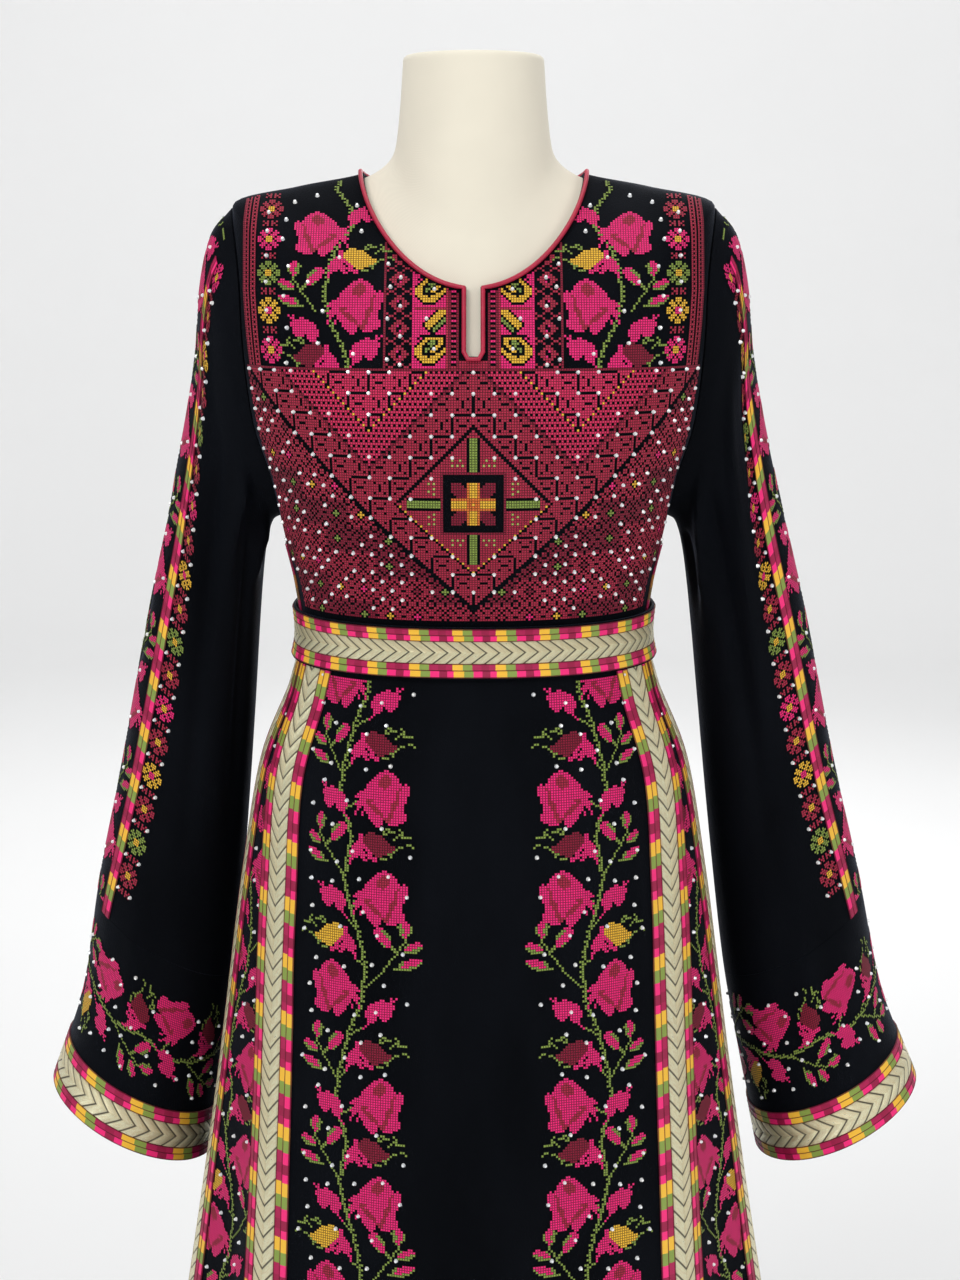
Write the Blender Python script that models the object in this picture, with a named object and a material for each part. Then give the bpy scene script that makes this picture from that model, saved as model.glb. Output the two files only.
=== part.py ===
"""A floor-length thobe with a chest panel, bell sleeves and a belt, worn by a limbless dress form on a stand.

Metres, +Z up, the front of the dress faces -Y. The origin is the middle of the stand's underside.
"""

import math

import bmesh
import bpy
import numpy as np
from mathutils import Matrix

# Cloth and seams
VELVET = 0.0020
SEAM_GAP = 0.0003
SHOULDER_GAP = 0.0007
# The side panel stops this many half seam gaps under the sleeve.
UNDERARM_GAPS = 8
FORM_GAP = 0.0018

# The applied bands: a gold ribbon between two striped braids
GOLD_WIDTH = 0.0205
BRAID_WIDTH = 0.0118
BAND_HEIGHT = 0.0012
BAND_EDGE = 0.0008
BAND_GAP = 0.0007
# Panels have a line of points under each of these distances from a band's middle, so bands lie flat on them.
BAND_LINES = (-0.0224, -0.0104, 0.0, 0.0104, 0.0224)

# The neck opening, its front slit and the cord that binds them
SLIT_HALF_WIDTH = 0.0052
BINDING_RADIUS = 0.0017
BINDING_ROOM = 0.0007
# How far under the slit's end the cord's foot lies, as a share of its distance from the slit's middle.
BINDING_FOOT = 0.45

# The armhole, an upright ellipse on the side of the bodice
ARMHOLE_TOP_Z = 1.4060
ARMHOLE_BOTTOM_Z = 1.1667
ARMHOLE_HALF_DEPTH = 0.0540
ARMHOLE_MIDDLE_Z = (ARMHOLE_TOP_Z + ARMHOLE_BOTTOM_Z) / 2
ARMHOLE_HALF_HEIGHT = (ARMHOLE_TOP_Z - ARMHOLE_BOTTOM_Z) / 2
UNDERARM_HALF_DEPTH = 0.0120
SIDE_PANEL_HALF_DEPTH = 0.0400
SIDE_PANEL_TAPER = 0.0350
# How far from its middle each of the side panel's five inner lines may stand, as shares of its half width.
SIDE_PANEL_LINE_REACH = (0.95, 0.45, 0.20, 0.45, 0.95)

# Heights that divide the dress
HEM_Z = 0.0120
WAIST_Z = 1.0780
BELT_HALF_HEIGHT = 0.0215
# The belt's inside is this far above the bands it crosses.
BELT_ROOM = 0.0025
BELT_COLUMNS = 30
# Where the belt's gold ribbon and its two braids end, as shares of the belt's half height.
BELT_GOLD_END = 0.427
BELT_BRAID_START = 0.433
BELT_BRAID_END = 0.950
FORM_BOTTOM_Z = 0.8000
FORM_TOP_Z = 1.5160

# Levels run from the hem (0) through the waist (7) to the neckline (15) and on up the form's neck.
WAIST_LEVEL = 7.0
TIP_LEVEL = 13.0
NECK_LEVEL = 15.0
TOP_LEVEL = 18.0
# Levels of the bodice's rows of points under the armhole and over it; between, they follow the sleeve's points.
SIDE_PANEL_LEVELS = (7.45, 7.90, 8.35, 8.80)
SHOULDER_LEVELS = (13.50, 14.10, NECK_LEVEL)
SKIRT_LEVELS = (0.0, 1.0, 2.0, 3.0, 3.8, 4.5, 5.0, 5.5, 6.0, 6.5)
SLEEVE_COLUMNS_ROUND = 18
SLEEVE_ROWS_DOWN = 11
FORM_NECK_LEVELS = (15.40, 15.80, 16.20, 16.60, 17.10, TOP_LEVEL)
FORM_COLUMNS_ROUND = 36
# The form's second row of points stands at least this many levels over its bottom.
FORM_FIRST_ROW = 0.1
# An open edge of the form belongs to the cap it is this near to.
FORM_CAP_REACH = 0.1
# The slit ends at this row of the armhole, counted from the underarm.
SLIT_HOLE_ROW = 6

# The stand under the form
POLE_RADIUS = 0.0160
BASE_RADIUS = 0.1800
BASE_THICKNESS = 0.0140
BASE_BEVEL = 0.0040


BODY_COLUMNS = ("level", "half_width", "side_z", "front", "front_z", "back", "back_z", "square", "dip")
BODY_ROWS = (
    (0.0, 0.3100, HEM_Z, 0.2580, HEM_Z, 0.2640, HEM_Z, 2.00, 2.0),
    (1.0, 0.2720, 0.3000, 0.2220, 0.3000, 0.2280, 0.3000, 2.00, 2.0),
    (2.0, 0.2400, 0.5060, 0.1920, 0.5060, 0.1980, 0.5060, 2.05, 2.0),
    (3.0, 0.2130, 0.6900, 0.1660, 0.6900, 0.1720, 0.6900, 2.10, 2.0),
    (4.0, 0.1877, 0.8750, 0.1400, 0.8750, 0.1460, 0.8750, 2.15, 2.0),
    (5.0, 0.1700, 0.9725, 0.1270, 0.9725, 0.1300, 0.9725, 2.20, 2.0),
    (6.0, 0.1450, 1.0365, 0.1090, 1.0365, 0.1040, 1.0365, 2.25, 2.0),
    (7.0, 0.1360, WAIST_Z, 0.1010, WAIST_Z, 0.0940, WAIST_Z, 2.30, 2.0),
    (8.0, 0.1400, 1.1150, 0.1070, 1.1150, 0.0970, 1.1150, 2.30, 2.0),
    (9.0, 0.1490, 1.1560, 0.1190, 1.1560, 0.1020, 1.1560, 2.35, 2.0),
    (10.0, 0.1580, 1.1980, 0.1290, 1.1960, 0.1080, 1.1960, 2.40, 2.0),
    (11.0, 0.1760, 1.2500, 0.1280, 1.2380, 0.1110, 1.2440, 2.40, 2.0),
    (12.0, 0.1865, 1.3300, 0.1130, 1.2900, 0.1050, 1.3140, 2.35, 2.0),
    (TIP_LEVEL, 0.1840, ARMHOLE_TOP_Z, 0.0950, 1.3220, 0.0880, 1.3720, 2.15, 1.9),
    (14.0, 0.1340, 1.4200, 0.0880, 1.3360, 0.0760, 1.3960, 2.05, 1.65),
    (NECK_LEVEL, 0.0840, 1.4300, 0.0830, 1.3460, 0.0640, 1.4120, 2.00, 1.35),
    (16.0, 0.0610, 1.4440, 0.0700, 1.3800, 0.0560, 1.4300, 2.00, 1.5),
    (17.0, 0.0560, 1.4760, 0.0585, 1.4560, 0.0550, 1.4720, 2.00, 1.6),
    (TOP_LEVEL, 0.0530, FORM_TOP_Z, 0.0530, FORM_TOP_Z, 0.0530, FORM_TOP_Z, 2.00, 2.0),
)

# Extra room between the cloth and the form, at the form's sides and all round it.
EASE_COLUMNS = ("level", "side", "round")
EASE_ROWS = (
    (3.0, 0.045, 0.045),
    (4.0, 0.018, 0.018),
    (6.0, 0.004, 0.006),
    (WAIST_LEVEL, 0.003, 0.006),
    (9.0, 0.002, 0.003),
    (10.0, 0.003, 0.0),
    (11.0, 0.012, 0.0),
    (12.0, 0.011, 0.0),
    (TIP_LEVEL, 0.0, 0.0),
    (TOP_LEVEL, 0.0, 0.0),
)

# Where the skirt's panels meet, as angles from the front; each seam lies under an applied band.
SEAM_COLUMNS = ("level", "front_seam", "side_seam")
SEAM_ROWS = (
    (0.0, 42.0, 75.0),
    (2.0, 43.5, 77.0),
    (3.0, 47.5, 79.0),
    (4.0, 53.5, 80.5),
    (5.0, 58.0, 81.5),
    (6.0, 60.5, 84.5),
    (WAIST_LEVEL, 61.0, 86.0),
)

# The skirt's flutes: where each stands, how wide it is, and how far it swells at the hem.
FLUTE_COLUMNS = ("angle", "half_width", "swell")
FLUTE_ROWS = (
    (2.0, 15.0, 0.007),
    (-27.0, 11.0, -0.009),
    (25.0, 12.0, -0.007),
    (-45.0, 9.0, 0.012),
    (44.0, 9.0, 0.014),
    (-61.0, 8.0, -0.017),
    (60.0, 8.0, -0.015),
    (-77.0, 9.0, 0.013),
    (77.0, 9.0, 0.015),
    (-96.0, 10.0, -0.019),
    (97.0, 10.0, -0.021),
    (-116.0, 10.0, 0.018),
    (117.0, 11.0, 0.020),
    (-137.0, 10.0, -0.020),
    (139.0, 11.0, -0.018),
    (-158.0, 10.0, 0.017),
    (161.0, 10.0, 0.018),
    (180.0, 10.0, -0.016),
)
FLUTE_TOP_Z = 0.9300

# A sleeve's rings, from the armhole to the hem: the outer and inner ends of each, its half depth and middle.
SLEEVE_COLUMNS = ("level", "outer_x", "outer_z", "inner_x", "inner_z", "half_depth", "middle_y")
SLEEVE_ROWS = (
    (0.0, 0.1840, 1.4055, 0.1520, 1.1672, 0.0535, 0.000),
    (1.0, 0.2020, 1.3830, 0.1580, 1.1640, 0.0500, 0.002),
    (2.0, 0.2125, 1.3400, 0.1625, 1.1540, 0.0475, 0.007),
    (3.0, 0.2170, 1.2980, 0.1665, 1.1360, 0.0460, 0.013),
    (4.0, 0.2260, 1.2500, 0.1700, 1.1100, 0.0450, 0.020),
    (5.0, 0.2420, 1.1800, 0.1740, 1.0700, 0.0450, 0.028),
    (6.0, 0.2640, 1.0880, 0.1790, 1.0100, 0.0470, 0.036),
    (7.0, 0.2900, 0.9620, 0.1890, 0.9000, 0.0530, 0.046),
    (8.0, 0.3180, 0.8380, 0.2030, 0.7680, 0.0630, 0.056),
    (9.0, 0.3310, 0.7600, 0.2150, 0.6860, 0.0710, 0.063),
    (10.0, 0.3610, 0.6700, 0.2270, 0.6000, 0.0780, 0.068),
)
# The sleeve's cloth starts here, so its thickness clears the bodice's edge.
SLEEVE_START_LEVEL = 0.06
CUFF_LEVEL = 8.0
CUFF_BAND_LEVEL = 9.48
HEM_LEVEL = 10.0
ARMHOLE_FADE = 2.5
# The sleeve on the wearer's left hangs a little further out at its hem.
SLEEVE_SWING = {"left": 0.004, "right": 0.022}
SIDES = {"left": -1.0, "right": 1.0}
# Two striped braids run down each sleeve, this far from its outer line.
SLEEVE_BRAID_ARC = 0.0450
SLEEVE_BRAID_GAP = 0.0005

COLOURS = {
    "velvet": ((0.004, 0.005, 0.009), 0.75, 0.0),
    "gold": ((0.62, 0.45, 0.20), 0.38, 0.55),
    "braid": ((0.62, 0.02, 0.13), 0.60, 0.0),
    "binding": ((0.50, 0.02, 0.08), 0.60, 0.0),
    "form_cloth": ((0.78, 0.74, 0.64), 0.85, 0.0),
    "steel": ((0.55, 0.55, 0.56), 0.35, 1.0),
}


class Table:
    """Named columns of a short table, joined down its first column by smooth curves that don't overshoot."""

    def __init__(self, columns, rows):
        values = np.array(rows, float)
        self.where = values[:, 0]
        self.columns = {name: values[:, i] for i, name in enumerate(columns)}
        self.slopes = {name: self.slopes_of(column) for name, column in self.columns.items()}

    def slopes_of(self, column):
        steps = np.diff(self.where)
        rises = np.diff(column) / steps
        before, after = rises[:-1], rises[1:]
        same_way = before * after > 0
        mean = np.where(same_way, 2 * before * after / np.where(same_way, before + after, 1.0), 0.0)
        return np.concatenate([[rises[0]], mean, [rises[-1]]])

    def __call__(self, name, where):
        where = np.clip(np.asarray(where, float), self.where[0], self.where[-1])
        i = np.clip(np.searchsorted(self.where, where, side="right") - 1, 0, len(self.where) - 2)
        step = self.where[i + 1] - self.where[i]
        s = (where - self.where[i]) / step
        column, slopes = self.columns[name], self.slopes[name]
        start, end = column[i], column[i + 1]
        return (
            start * (1 + 2 * s) * (1 - s) ** 2
            + slopes[i] * step * s * (1 - s) ** 2
            + end * s * s * (3 - 2 * s)
            - slopes[i + 1] * step * s * s * (1 - s)
        )


BODY = Table(BODY_COLUMNS, BODY_ROWS)
EASE = Table(EASE_COLUMNS, EASE_ROWS)
SEAMS = Table(SEAM_COLUMNS, SEAM_ROWS)
SLEEVE = Table(SLEEVE_COLUMNS, SLEEVE_ROWS)


def smooth(value):
    value = np.clip(value, 0.0, 1.0)
    return value * value * (3 - 2 * value)


def stack(x, y, z):
    return np.stack(np.broadcast_arrays(x, y, z), axis=-1).astype(float)


def flutes(angle, z):
    """How far the skirt swells out at an angle and height."""
    swell = np.zeros(np.broadcast(angle, z).shape)
    for middle, half_width, depth in FLUTE_ROWS:
        off = (angle - middle + 180.0) % 360.0 - 180.0
        swell = swell + depth * np.exp(-((off / half_width) ** 2))
    return swell * smooth((FLUTE_TOP_Z - z) / (FLUTE_TOP_Z - HEM_Z))


def body(level, angle):
    """A point of the dress's outer surface. Angle 0 is the front, 90 is at +X, in degrees."""
    turn = np.radians(angle)
    across, along = np.sin(turn), np.cos(turn)
    power = 2.0 / BODY("square", level)
    at_front = along >= 0
    x = BODY("half_width", level) * np.sign(across) * np.abs(across) ** power
    depth = np.where(at_front, BODY("front", level), BODY("back", level))
    y = -np.sign(along) * depth * np.abs(along) ** power
    end_z = np.where(at_front, BODY("front_z", level), BODY("back_z", level))
    side_z = BODY("side_z", level)
    z = side_z + (end_z - side_z) * np.abs(along) ** BODY("dip", level)
    grown = 1 + flutes(angle, z) / np.maximum(np.hypot(x, y), 0.01)
    return stack(x * grown, y * grown, z)


def lift(surface, level, angle, out):
    """A surface's point moved outwards along its normal by a distance."""
    point = surface(level, angle)
    level_step, angle_step = 0.01, 0.5
    up = surface(level + level_step, angle) - surface(level - level_step, angle)
    round_it = surface(level, angle + angle_step) - surface(level, angle - angle_step)
    normal = np.cross(round_it, up)
    normal /= np.maximum(np.linalg.norm(normal, axis=-1, keepdims=True), 1e-12)
    return point + normal * np.asarray(out, float)[..., None]


def degrees_per_metre(surface, level, angle):
    """How many degrees round a surface one metre is, at a point."""
    ends = surface(level, angle + 0.5) - surface(level, angle - 0.5)
    return 1.0 / np.linalg.norm(ends, axis=-1)


def levels_per_metre(surface, level, angle):
    step = 0.02
    ends = surface(level + step, angle) - surface(level - step, angle)
    return 2 * step / np.linalg.norm(ends, axis=-1)


def level_at(side_z):
    """The level whose side stands at a height."""
    levels = np.linspace(0.0, TOP_LEVEL, 1801)
    return np.interp(side_z, BODY("side_z", levels), levels)


UNDERARM_LEVEL = float(level_at(ARMHOLE_BOTTOM_Z))


def angle_of_depth(level, half_depth):
    """The angle at which the front of a ring is half_depth ahead of its side."""
    share = np.clip(half_depth / BODY("front", level), 0.0, 1.0)
    return np.degrees(np.arccos(share ** (BODY("square", level) / 2)))


def edge_half_depth(level):
    """How far the bodice's panels stop short of the side line: the armhole, and the side panel under it."""
    z = BODY("side_z", level)
    share = np.clip((z - ARMHOLE_MIDDLE_Z) / ARMHOLE_HALF_HEIGHT, -1.0, 1.0)
    hole = ARMHOLE_HALF_DEPTH * np.sqrt(1 - share**2) * (level <= TIP_LEVEL)
    taper = smooth((ARMHOLE_BOTTOM_Z - z) / SIDE_PANEL_TAPER)
    panel = UNDERARM_HALF_DEPTH + (SIDE_PANEL_HALF_DEPTH - UNDERARM_HALF_DEPTH) * taper
    return np.where(z < ARMHOLE_MIDDLE_Z, np.maximum(hole, panel), hole)


def bodice_edge(level):
    """The angle of the front panel's side edge; the back panel mirrors it. Over the tip it is the shoulder seam."""
    angle = angle_of_depth(level, edge_half_depth(level))
    shoulder = level > TIP_LEVEL - 0.2
    gap = np.where(shoulder, SHOULDER_GAP, SEAM_GAP) / 2
    return angle - gap * degrees_per_metre(body, level, angle)


def sleeve_of(side):
    """The outer surface of one sleeve. Angle 0 is its outer line; 90 faces the front at +X and the back at -X."""
    sign, swing = SIDES[side], SLEEVE_SWING[side]

    def ring(level, angle):
        turn = np.radians(angle)
        outer = np.stack([SLEEVE("outer_x", level), SLEEVE("outer_z", level)])
        inner = np.stack([SLEEVE("inner_x", level), SLEEVE("inner_z", level)])
        across = (outer + inner) / 2 + (outer - inner) / 2 * np.cos(turn)
        y = SLEEVE("middle_y", level) - SLEEVE("half_depth", level) * np.sin(turn)
        return across[0], y, across[1]

    def armhole(angle):
        """The sleeve's end, a little inside the bodice's armhole and on its surface."""
        turn = np.radians(angle)
        height = ARMHOLE_MIDDLE_Z + (ARMHOLE_HALF_HEIGHT - 3 * SEAM_GAP) * np.cos(turn)
        level = level_at(height)
        half_depth = (ARMHOLE_HALF_DEPTH - 3 * SEAM_GAP) * np.abs(np.sin(turn))
        at = angle_of_depth(level, half_depth)
        point = body(level, np.where(np.sin(turn) >= 0, at, 180.0 - at))
        point[..., 1] = -half_depth * np.sign(np.sin(turn))
        return point

    def surface(level, angle):
        level, angle = np.broadcast_arrays(np.asarray(level, float), sign * np.asarray(angle, float))
        x, y, z = ring(level, angle)
        start = np.zeros_like(level)
        first = armhole(angle)
        fade = 1 - smooth(level / ARMHOLE_FADE)
        x0, y0, z0 = ring(start, angle)
        x = x + (first[..., 0] - x0) * fade
        y = y + (first[..., 1] - y0) * fade
        z = z + (first[..., 2] - z0) * fade
        hung = np.clip(level / HEM_LEVEL, 0.0, 1.0)
        x = x + swing * hung**3
        return stack(sign * x, y, z)

    return surface


def material(slot):
    colour, roughness, metallic = COLOURS[slot]
    made = bpy.data.materials.get(slot) or bpy.data.materials.new(slot)
    made.use_nodes = True
    shader = made.node_tree.nodes["Principled BSDF"]
    shader.inputs["Base Color"].default_value = (*colour, 1.0)
    shader.inputs["Roughness"].default_value = roughness
    shader.inputs["Metallic"].default_value = metallic
    return made


def add(name, bm, slot, flat=False):
    """Closes a mesh's making: faces point out, it is shaded and it joins the dress's collection."""
    bmesh.ops.recalc_face_normals(bm, faces=bm.faces)
    if bm.calc_volume(signed=True) < 0:
        bmesh.ops.reverse_faces(bm, faces=bm.faces)
    mesh = bpy.data.meshes.new(name)
    bm.to_mesh(mesh)
    bm.free()
    mesh.materials.append(material(slot))
    if flat:
        mesh.shade_flat()
    else:
        mesh.shade_smooth()
        mesh.set_sharp_from_angle(angle=math.radians(50))
    made = bpy.data.objects.new(name, mesh)
    COLLECTION.objects.link(made)
    return made


def sheet_grid(columns, rows, closed):
    """A grid of faces whose points hold their place across (x) and down (y), both from 0 to 1."""
    bm = bmesh.new()
    bmesh.ops.create_grid(bm, x_segments=columns, y_segments=rows, size=0.5)
    bmesh.ops.translate(bm, verts=bm.verts, vec=(0.5, 0.5, 0.0))
    if closed:
        starts = {round(v.co.y, 5): v for v in bm.verts if v.co.x < 1e-5}
        ends = {v: starts[round(v.co.y, 5)] for v in bm.verts if v.co.x > 1 - 1e-5}
        bmesh.ops.weld_verts(bm, targetmap=ends)
    return bm


def place(verts, point):
    """Moves grid points from their places across and down to where point(u, v) puts them."""
    verts = list(verts)
    places = np.array([v.co[:2] for v in verts])
    for vert, to in zip(verts, point(places[:, 0], places[:, 1])):
        vert.co = to


def wall(name, slot, outer, inner, columns, rows, closed=False, cut=None):
    """A cloth wall between two surfaces, each a function of the place across and down it."""
    bm = sheet_grid(columns, rows, closed)
    if cut:
        gone = [f for f in bm.faces if cut(*f.calc_center_median()[:2])]
        bmesh.ops.delete(bm, geom=gone, context="FACES")
    grown = bmesh.ops.extrude_face_region(bm, geom=bm.faces[:], use_keep_orig=True)
    inside = [g for g in grown["geom"] if isinstance(g, bmesh.types.BMVert)]
    outside = set(bm.verts) - set(inside)
    place(inside, inner)
    place(outside, outer)
    return add(name, bm, slot)


def cloth(name, level, angle, columns, rows, surface=body, closed=False, cut=None, thickness=VELVET):
    """A velvet panel: level(v) and angle(u, v) say which part of a surface it covers."""

    def at_depth(depth):
        def point(u, v):
            levels = level(v)
            return lift(surface, levels, angle(u, levels), np.full(np.shape(u), -depth))

        return point

    return wall(name, "velvet", at_depth(0.0), at_depth(thickness), columns, rows, closed, cut)


def between(low, high):
    """A level that runs from low to high as v goes from 0 to 1."""
    return lambda v: low + (high - low) * v


def level_gap(level):
    """Half a seam's gap, as a change of level beside the side line."""
    return SEAM_GAP / 2 * float(levels_per_metre(body, level, 90.0))


BANDS = (
    ("braid_front", -(GOLD_WIDTH + BRAID_WIDTH) / 2 - SEAM_GAP, BRAID_WIDTH, "braid"),
    ("gold", 0.0, GOLD_WIDTH, "gold"),
    ("braid_back", (GOLD_WIDTH + BRAID_WIDTH) / 2 + SEAM_GAP, BRAID_WIDTH, "braid"),
)


def band_heights(u, base):
    """A band's top above its panel, crowned across its width."""
    return base + BAND_EDGE + (BAND_HEIGHT - BAND_EDGE) * np.sin(np.pi * u)


def ramp(at, places, knots):
    """Straight lines through knots, which may be arrays, one knot at each place."""
    total = knots[0]
    for i in range(len(places) - 1):
        share = np.clip((at - places[i]) / (places[i + 1] - places[i]), 0.0, 1.0)
        total = total + (knots[i + 1] - knots[i]) * share
    return total


def seam_band(name, slot, level, middle, offset, width, rows):
    """A band up a seam of the body. It lies on the flat faces between the lines of points under it."""

    def at(height):
        def point(u, v):
            levels = level(v)
            centre = middle(levels)
            scale = degrees_per_metre(body, levels, centre)
            lines = [lift(body, levels, centre + line * scale, height(u)) for line in BAND_LINES]
            away = (offset + (u - 0.5) * width)[:, None]
            return ramp(away, BAND_LINES, lines)

        return point

    bottom = at(lambda u: np.full(np.shape(u), BAND_GAP))
    return wall(name, slot, at(lambda u: band_heights(u, BAND_GAP)), bottom, 2, rows)


def arc_band(name, slot, surface, level, arc, rows):
    """A braid up a sleeve, at a distance round it from its outer line."""

    def at(height):
        def point(u, v):
            levels = level(v)
            half_way = 0.5 * arc * degrees_per_metre(surface, levels, np.zeros(np.shape(levels)))
            scale = degrees_per_metre(surface, levels, half_way)
            return lift(surface, levels, (arc + (u - 0.5) * BRAID_WIDTH) * scale, height(u))

        return point

    bottom = at(lambda u: np.full(np.shape(u), SLEEVE_BRAID_GAP))
    return wall(name, slot, at(lambda u: band_heights(u, SLEEVE_BRAID_GAP)), bottom, 2, rows)


def ring_band(name, slot, surface, levels, base, offset, width, columns):
    """A band round a surface. It lies on the flat faces between two rings of points, measured from the second."""

    def at(height):
        def point(u, v):
            angle = u * 360.0
            ends = [lift(surface, np.full(np.shape(u), level), angle, height(v)) for level in levels]
            span = np.linalg.norm(ends[1] - ends[0], axis=-1).mean()
            share = (1 + (offset + (v - 0.5) * width) / span)[:, None]
            return ends[0] + (ends[1] - ends[0]) * share

        return point

    bottom = at(lambda v: np.full(np.shape(v), base))
    return wall(name, slot, at(lambda v: base + BAND_HEIGHT + 0 * v), bottom, columns, 1, closed=True)


def armhole_levels():
    """The levels of the sleeve's points round the armhole, from the underarm to the shoulder tip."""
    turns = np.radians(np.arange(SLEEVE_COLUMNS_ROUND // 2, -1, -1) * 360.0 / SLEEVE_COLUMNS_ROUND)
    return level_at(ARMHOLE_MIDDLE_Z + ARMHOLE_HALF_HEIGHT * np.cos(turns))


def slit_level():
    return float(armhole_levels()[SLIT_HOLE_ROW])


def make_bodice():
    low = WAIST_LEVEL + level_gap(WAIST_LEVEL)
    levels_up = np.concatenate([[low], SIDE_PANEL_LEVELS, armhole_levels(), SHOULDER_LEVELS])
    rows, half_columns = len(levels_up) - 1, 9
    slit_row = len(SIDE_PANEL_LEVELS) + SLIT_HOLE_ROW + 1

    def level(v):
        return np.interp(np.asarray(v) * rows, range(rows + 1), levels_up)

    def angle(u, levels):
        """Columns on each side run from the slit's edge to the panel's edge."""
        column = np.asarray(u) * (2 * half_columns + 1)
        side = np.where(column > half_columns + 0.5, 1.0, -1.0)
        share = np.where(side > 0, column - half_columns - 1, half_columns - column) / half_columns
        slit_share = np.clip(SLIT_HALF_WIDTH / BODY("half_width", levels), 0.0, 1.0)
        start = np.degrees(np.arcsin(slit_share ** (BODY("square", levels) / 2)))
        return side * (start + (bodice_edge(levels) - start) * share)

    def above_slit(u, v):
        return abs(u - 0.5) < 0.5 / (2 * half_columns + 1) and v > slit_row / rows

    cloth("bodice_front", level, angle, 2 * half_columns + 1, rows, cut=above_slit)

    def back_angle(u, levels):
        return 180.0 + (2 * np.asarray(u) - 1) * bodice_edge(levels)

    cloth("bodice_back", level, back_angle, 20, rows)
    side_rows = len(SIDE_PANEL_LEVELS) + 1
    side_levels = [*levels_up[:side_rows], levels_up[side_rows] - UNDERARM_GAPS * level_gap(UNDERARM_LEVEL)]

    def side_level(v, whole=1.0):
        return np.interp(np.asarray(v) * whole * side_rows, range(side_rows + 1), side_levels)

    def band_level(v):
        return side_level(v, (side_rows - 1) / side_rows)

    for side, sign in SIDES.items():

        def side_angle(u, levels, sign=sign):
            edge = 90.0 - angle_of_depth(levels, edge_half_depth(levels))
            edge = edge - SEAM_GAP / 2 * degrees_per_metre(body, levels, 90.0)
            centre = np.minimum(SEAMS("side_seam", levels), 90.0)
            scale = degrees_per_metre(body, levels, centre)
            lines = [centre + line * scale for line in BAND_LINES]
            reaches = [share * edge for share in SIDE_PANEL_LINE_REACH]
            lines = [np.clip(line, 90.0 - reach, 90.0 + reach) for line, reach in zip(lines, reaches)]
            return sign * ramp(np.asarray(u) * 6, range(7), [90.0 - edge, *lines, 90.0 + edge])

        cloth(f"bodice_side_{side}", side_level, side_angle, 6, side_rows)
        for part, offset, width, slot in BANDS:
            name = f"bodice_band_{side}_{part}"
            middle = seam_angle("side_seam", sign)
            seam_band(name, slot, band_level, middle, sign * offset, width, side_rows - 1)


def seam_angle(name, sign):
    return lambda levels: sign * SEAMS(name, levels)


def lined(u, columns, start, end, levels):
    """Angles across a panel from one seam to the next, with the lines that the bands on its seams lie on."""
    start_scale = degrees_per_metre(body, levels, start)
    end_scale = degrees_per_metre(body, levels, end)
    near, far = BAND_LINES[3:]
    knots = [
        start + SEAM_GAP / 2 * start_scale,
        start + near * start_scale,
        start + far * start_scale,
        end - far * end_scale,
        end - near * end_scale,
        end - SEAM_GAP / 2 * end_scale,
    ]
    return ramp(np.asarray(u) * columns, (0, 1, 2, columns - 2, columns - 1, columns), knots)


def make_skirt():
    rows = len(SKIRT_LEVELS)
    levels_up = (*SKIRT_LEVELS, WAIST_LEVEL - level_gap(WAIST_LEVEL))

    def level(v):
        return np.interp(np.asarray(v) * rows, range(rows + 1), levels_up)

    panels = {
        "front": (16, lambda levels: -SEAMS("front_seam", levels), lambda levels: SEAMS("front_seam", levels)),
        "back": (30, lambda levels: SEAMS("side_seam", levels), lambda levels: 360.0 - SEAMS("side_seam", levels)),
    }
    for side, sign in SIDES.items():
        seams = [seam_angle("front_seam", sign), seam_angle("side_seam", sign)]
        start, end = seams[:: int(sign)]
        panels[f"side_{side}"] = (7, start, end)
    for name, (columns, start, end) in panels.items():

        def angle(u, levels, columns=columns, start=start, end=end):
            return lined(u, columns, start(levels), end(levels), levels)

        cloth(f"skirt_{name}", level, angle, columns, rows)
    for side, sign in SIDES.items():
        for seam in ("front", "side"):
            for part, offset, width, slot in BANDS:
                name = f"skirt_{seam}_band_{side}_{part}"
                middle = seam_angle(f"{seam}_seam", sign)
                seam_band(name, slot, level, middle, sign * offset, width, rows)


def make_belt():
    inside = BELT_ROOM + BAND_HEIGHT
    reach = BELT_HALF_HEIGHT * float(levels_per_metre(body, WAIST_LEVEL, 90.0))
    level = between(WAIST_LEVEL - reach, WAIST_LEVEL + reach)

    def at(out):
        return lambda u, v: lift(body, level(v), u * 360.0, np.full(np.shape(u), out))

    wall("belt", "velvet", at(inside + VELVET), at(inside), BELT_COLUMNS, 4, closed=True)
    base = inside + VELVET + SEAM_GAP
    for part, low, high, slot in (
        ("braid_lower", -BELT_BRAID_END, -BELT_BRAID_START, "braid"),
        ("gold", -BELT_GOLD_END, BELT_GOLD_END, "gold"),
        ("braid_upper", BELT_BRAID_START, BELT_BRAID_END, "braid"),
    ):
        part_level = between(WAIST_LEVEL + low * reach, WAIST_LEVEL + high * reach)

        def at_height(height, part_level=part_level):
            return lambda u, v: lift(body, part_level(v), u * 360.0, height(v))

        top = at_height(lambda v: band_heights(v, base))
        bottom = at_height(lambda v: np.full(np.shape(v), base))
        wall(f"belt_{part}", slot, top, bottom, BELT_COLUMNS, 2, closed=True)


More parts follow.
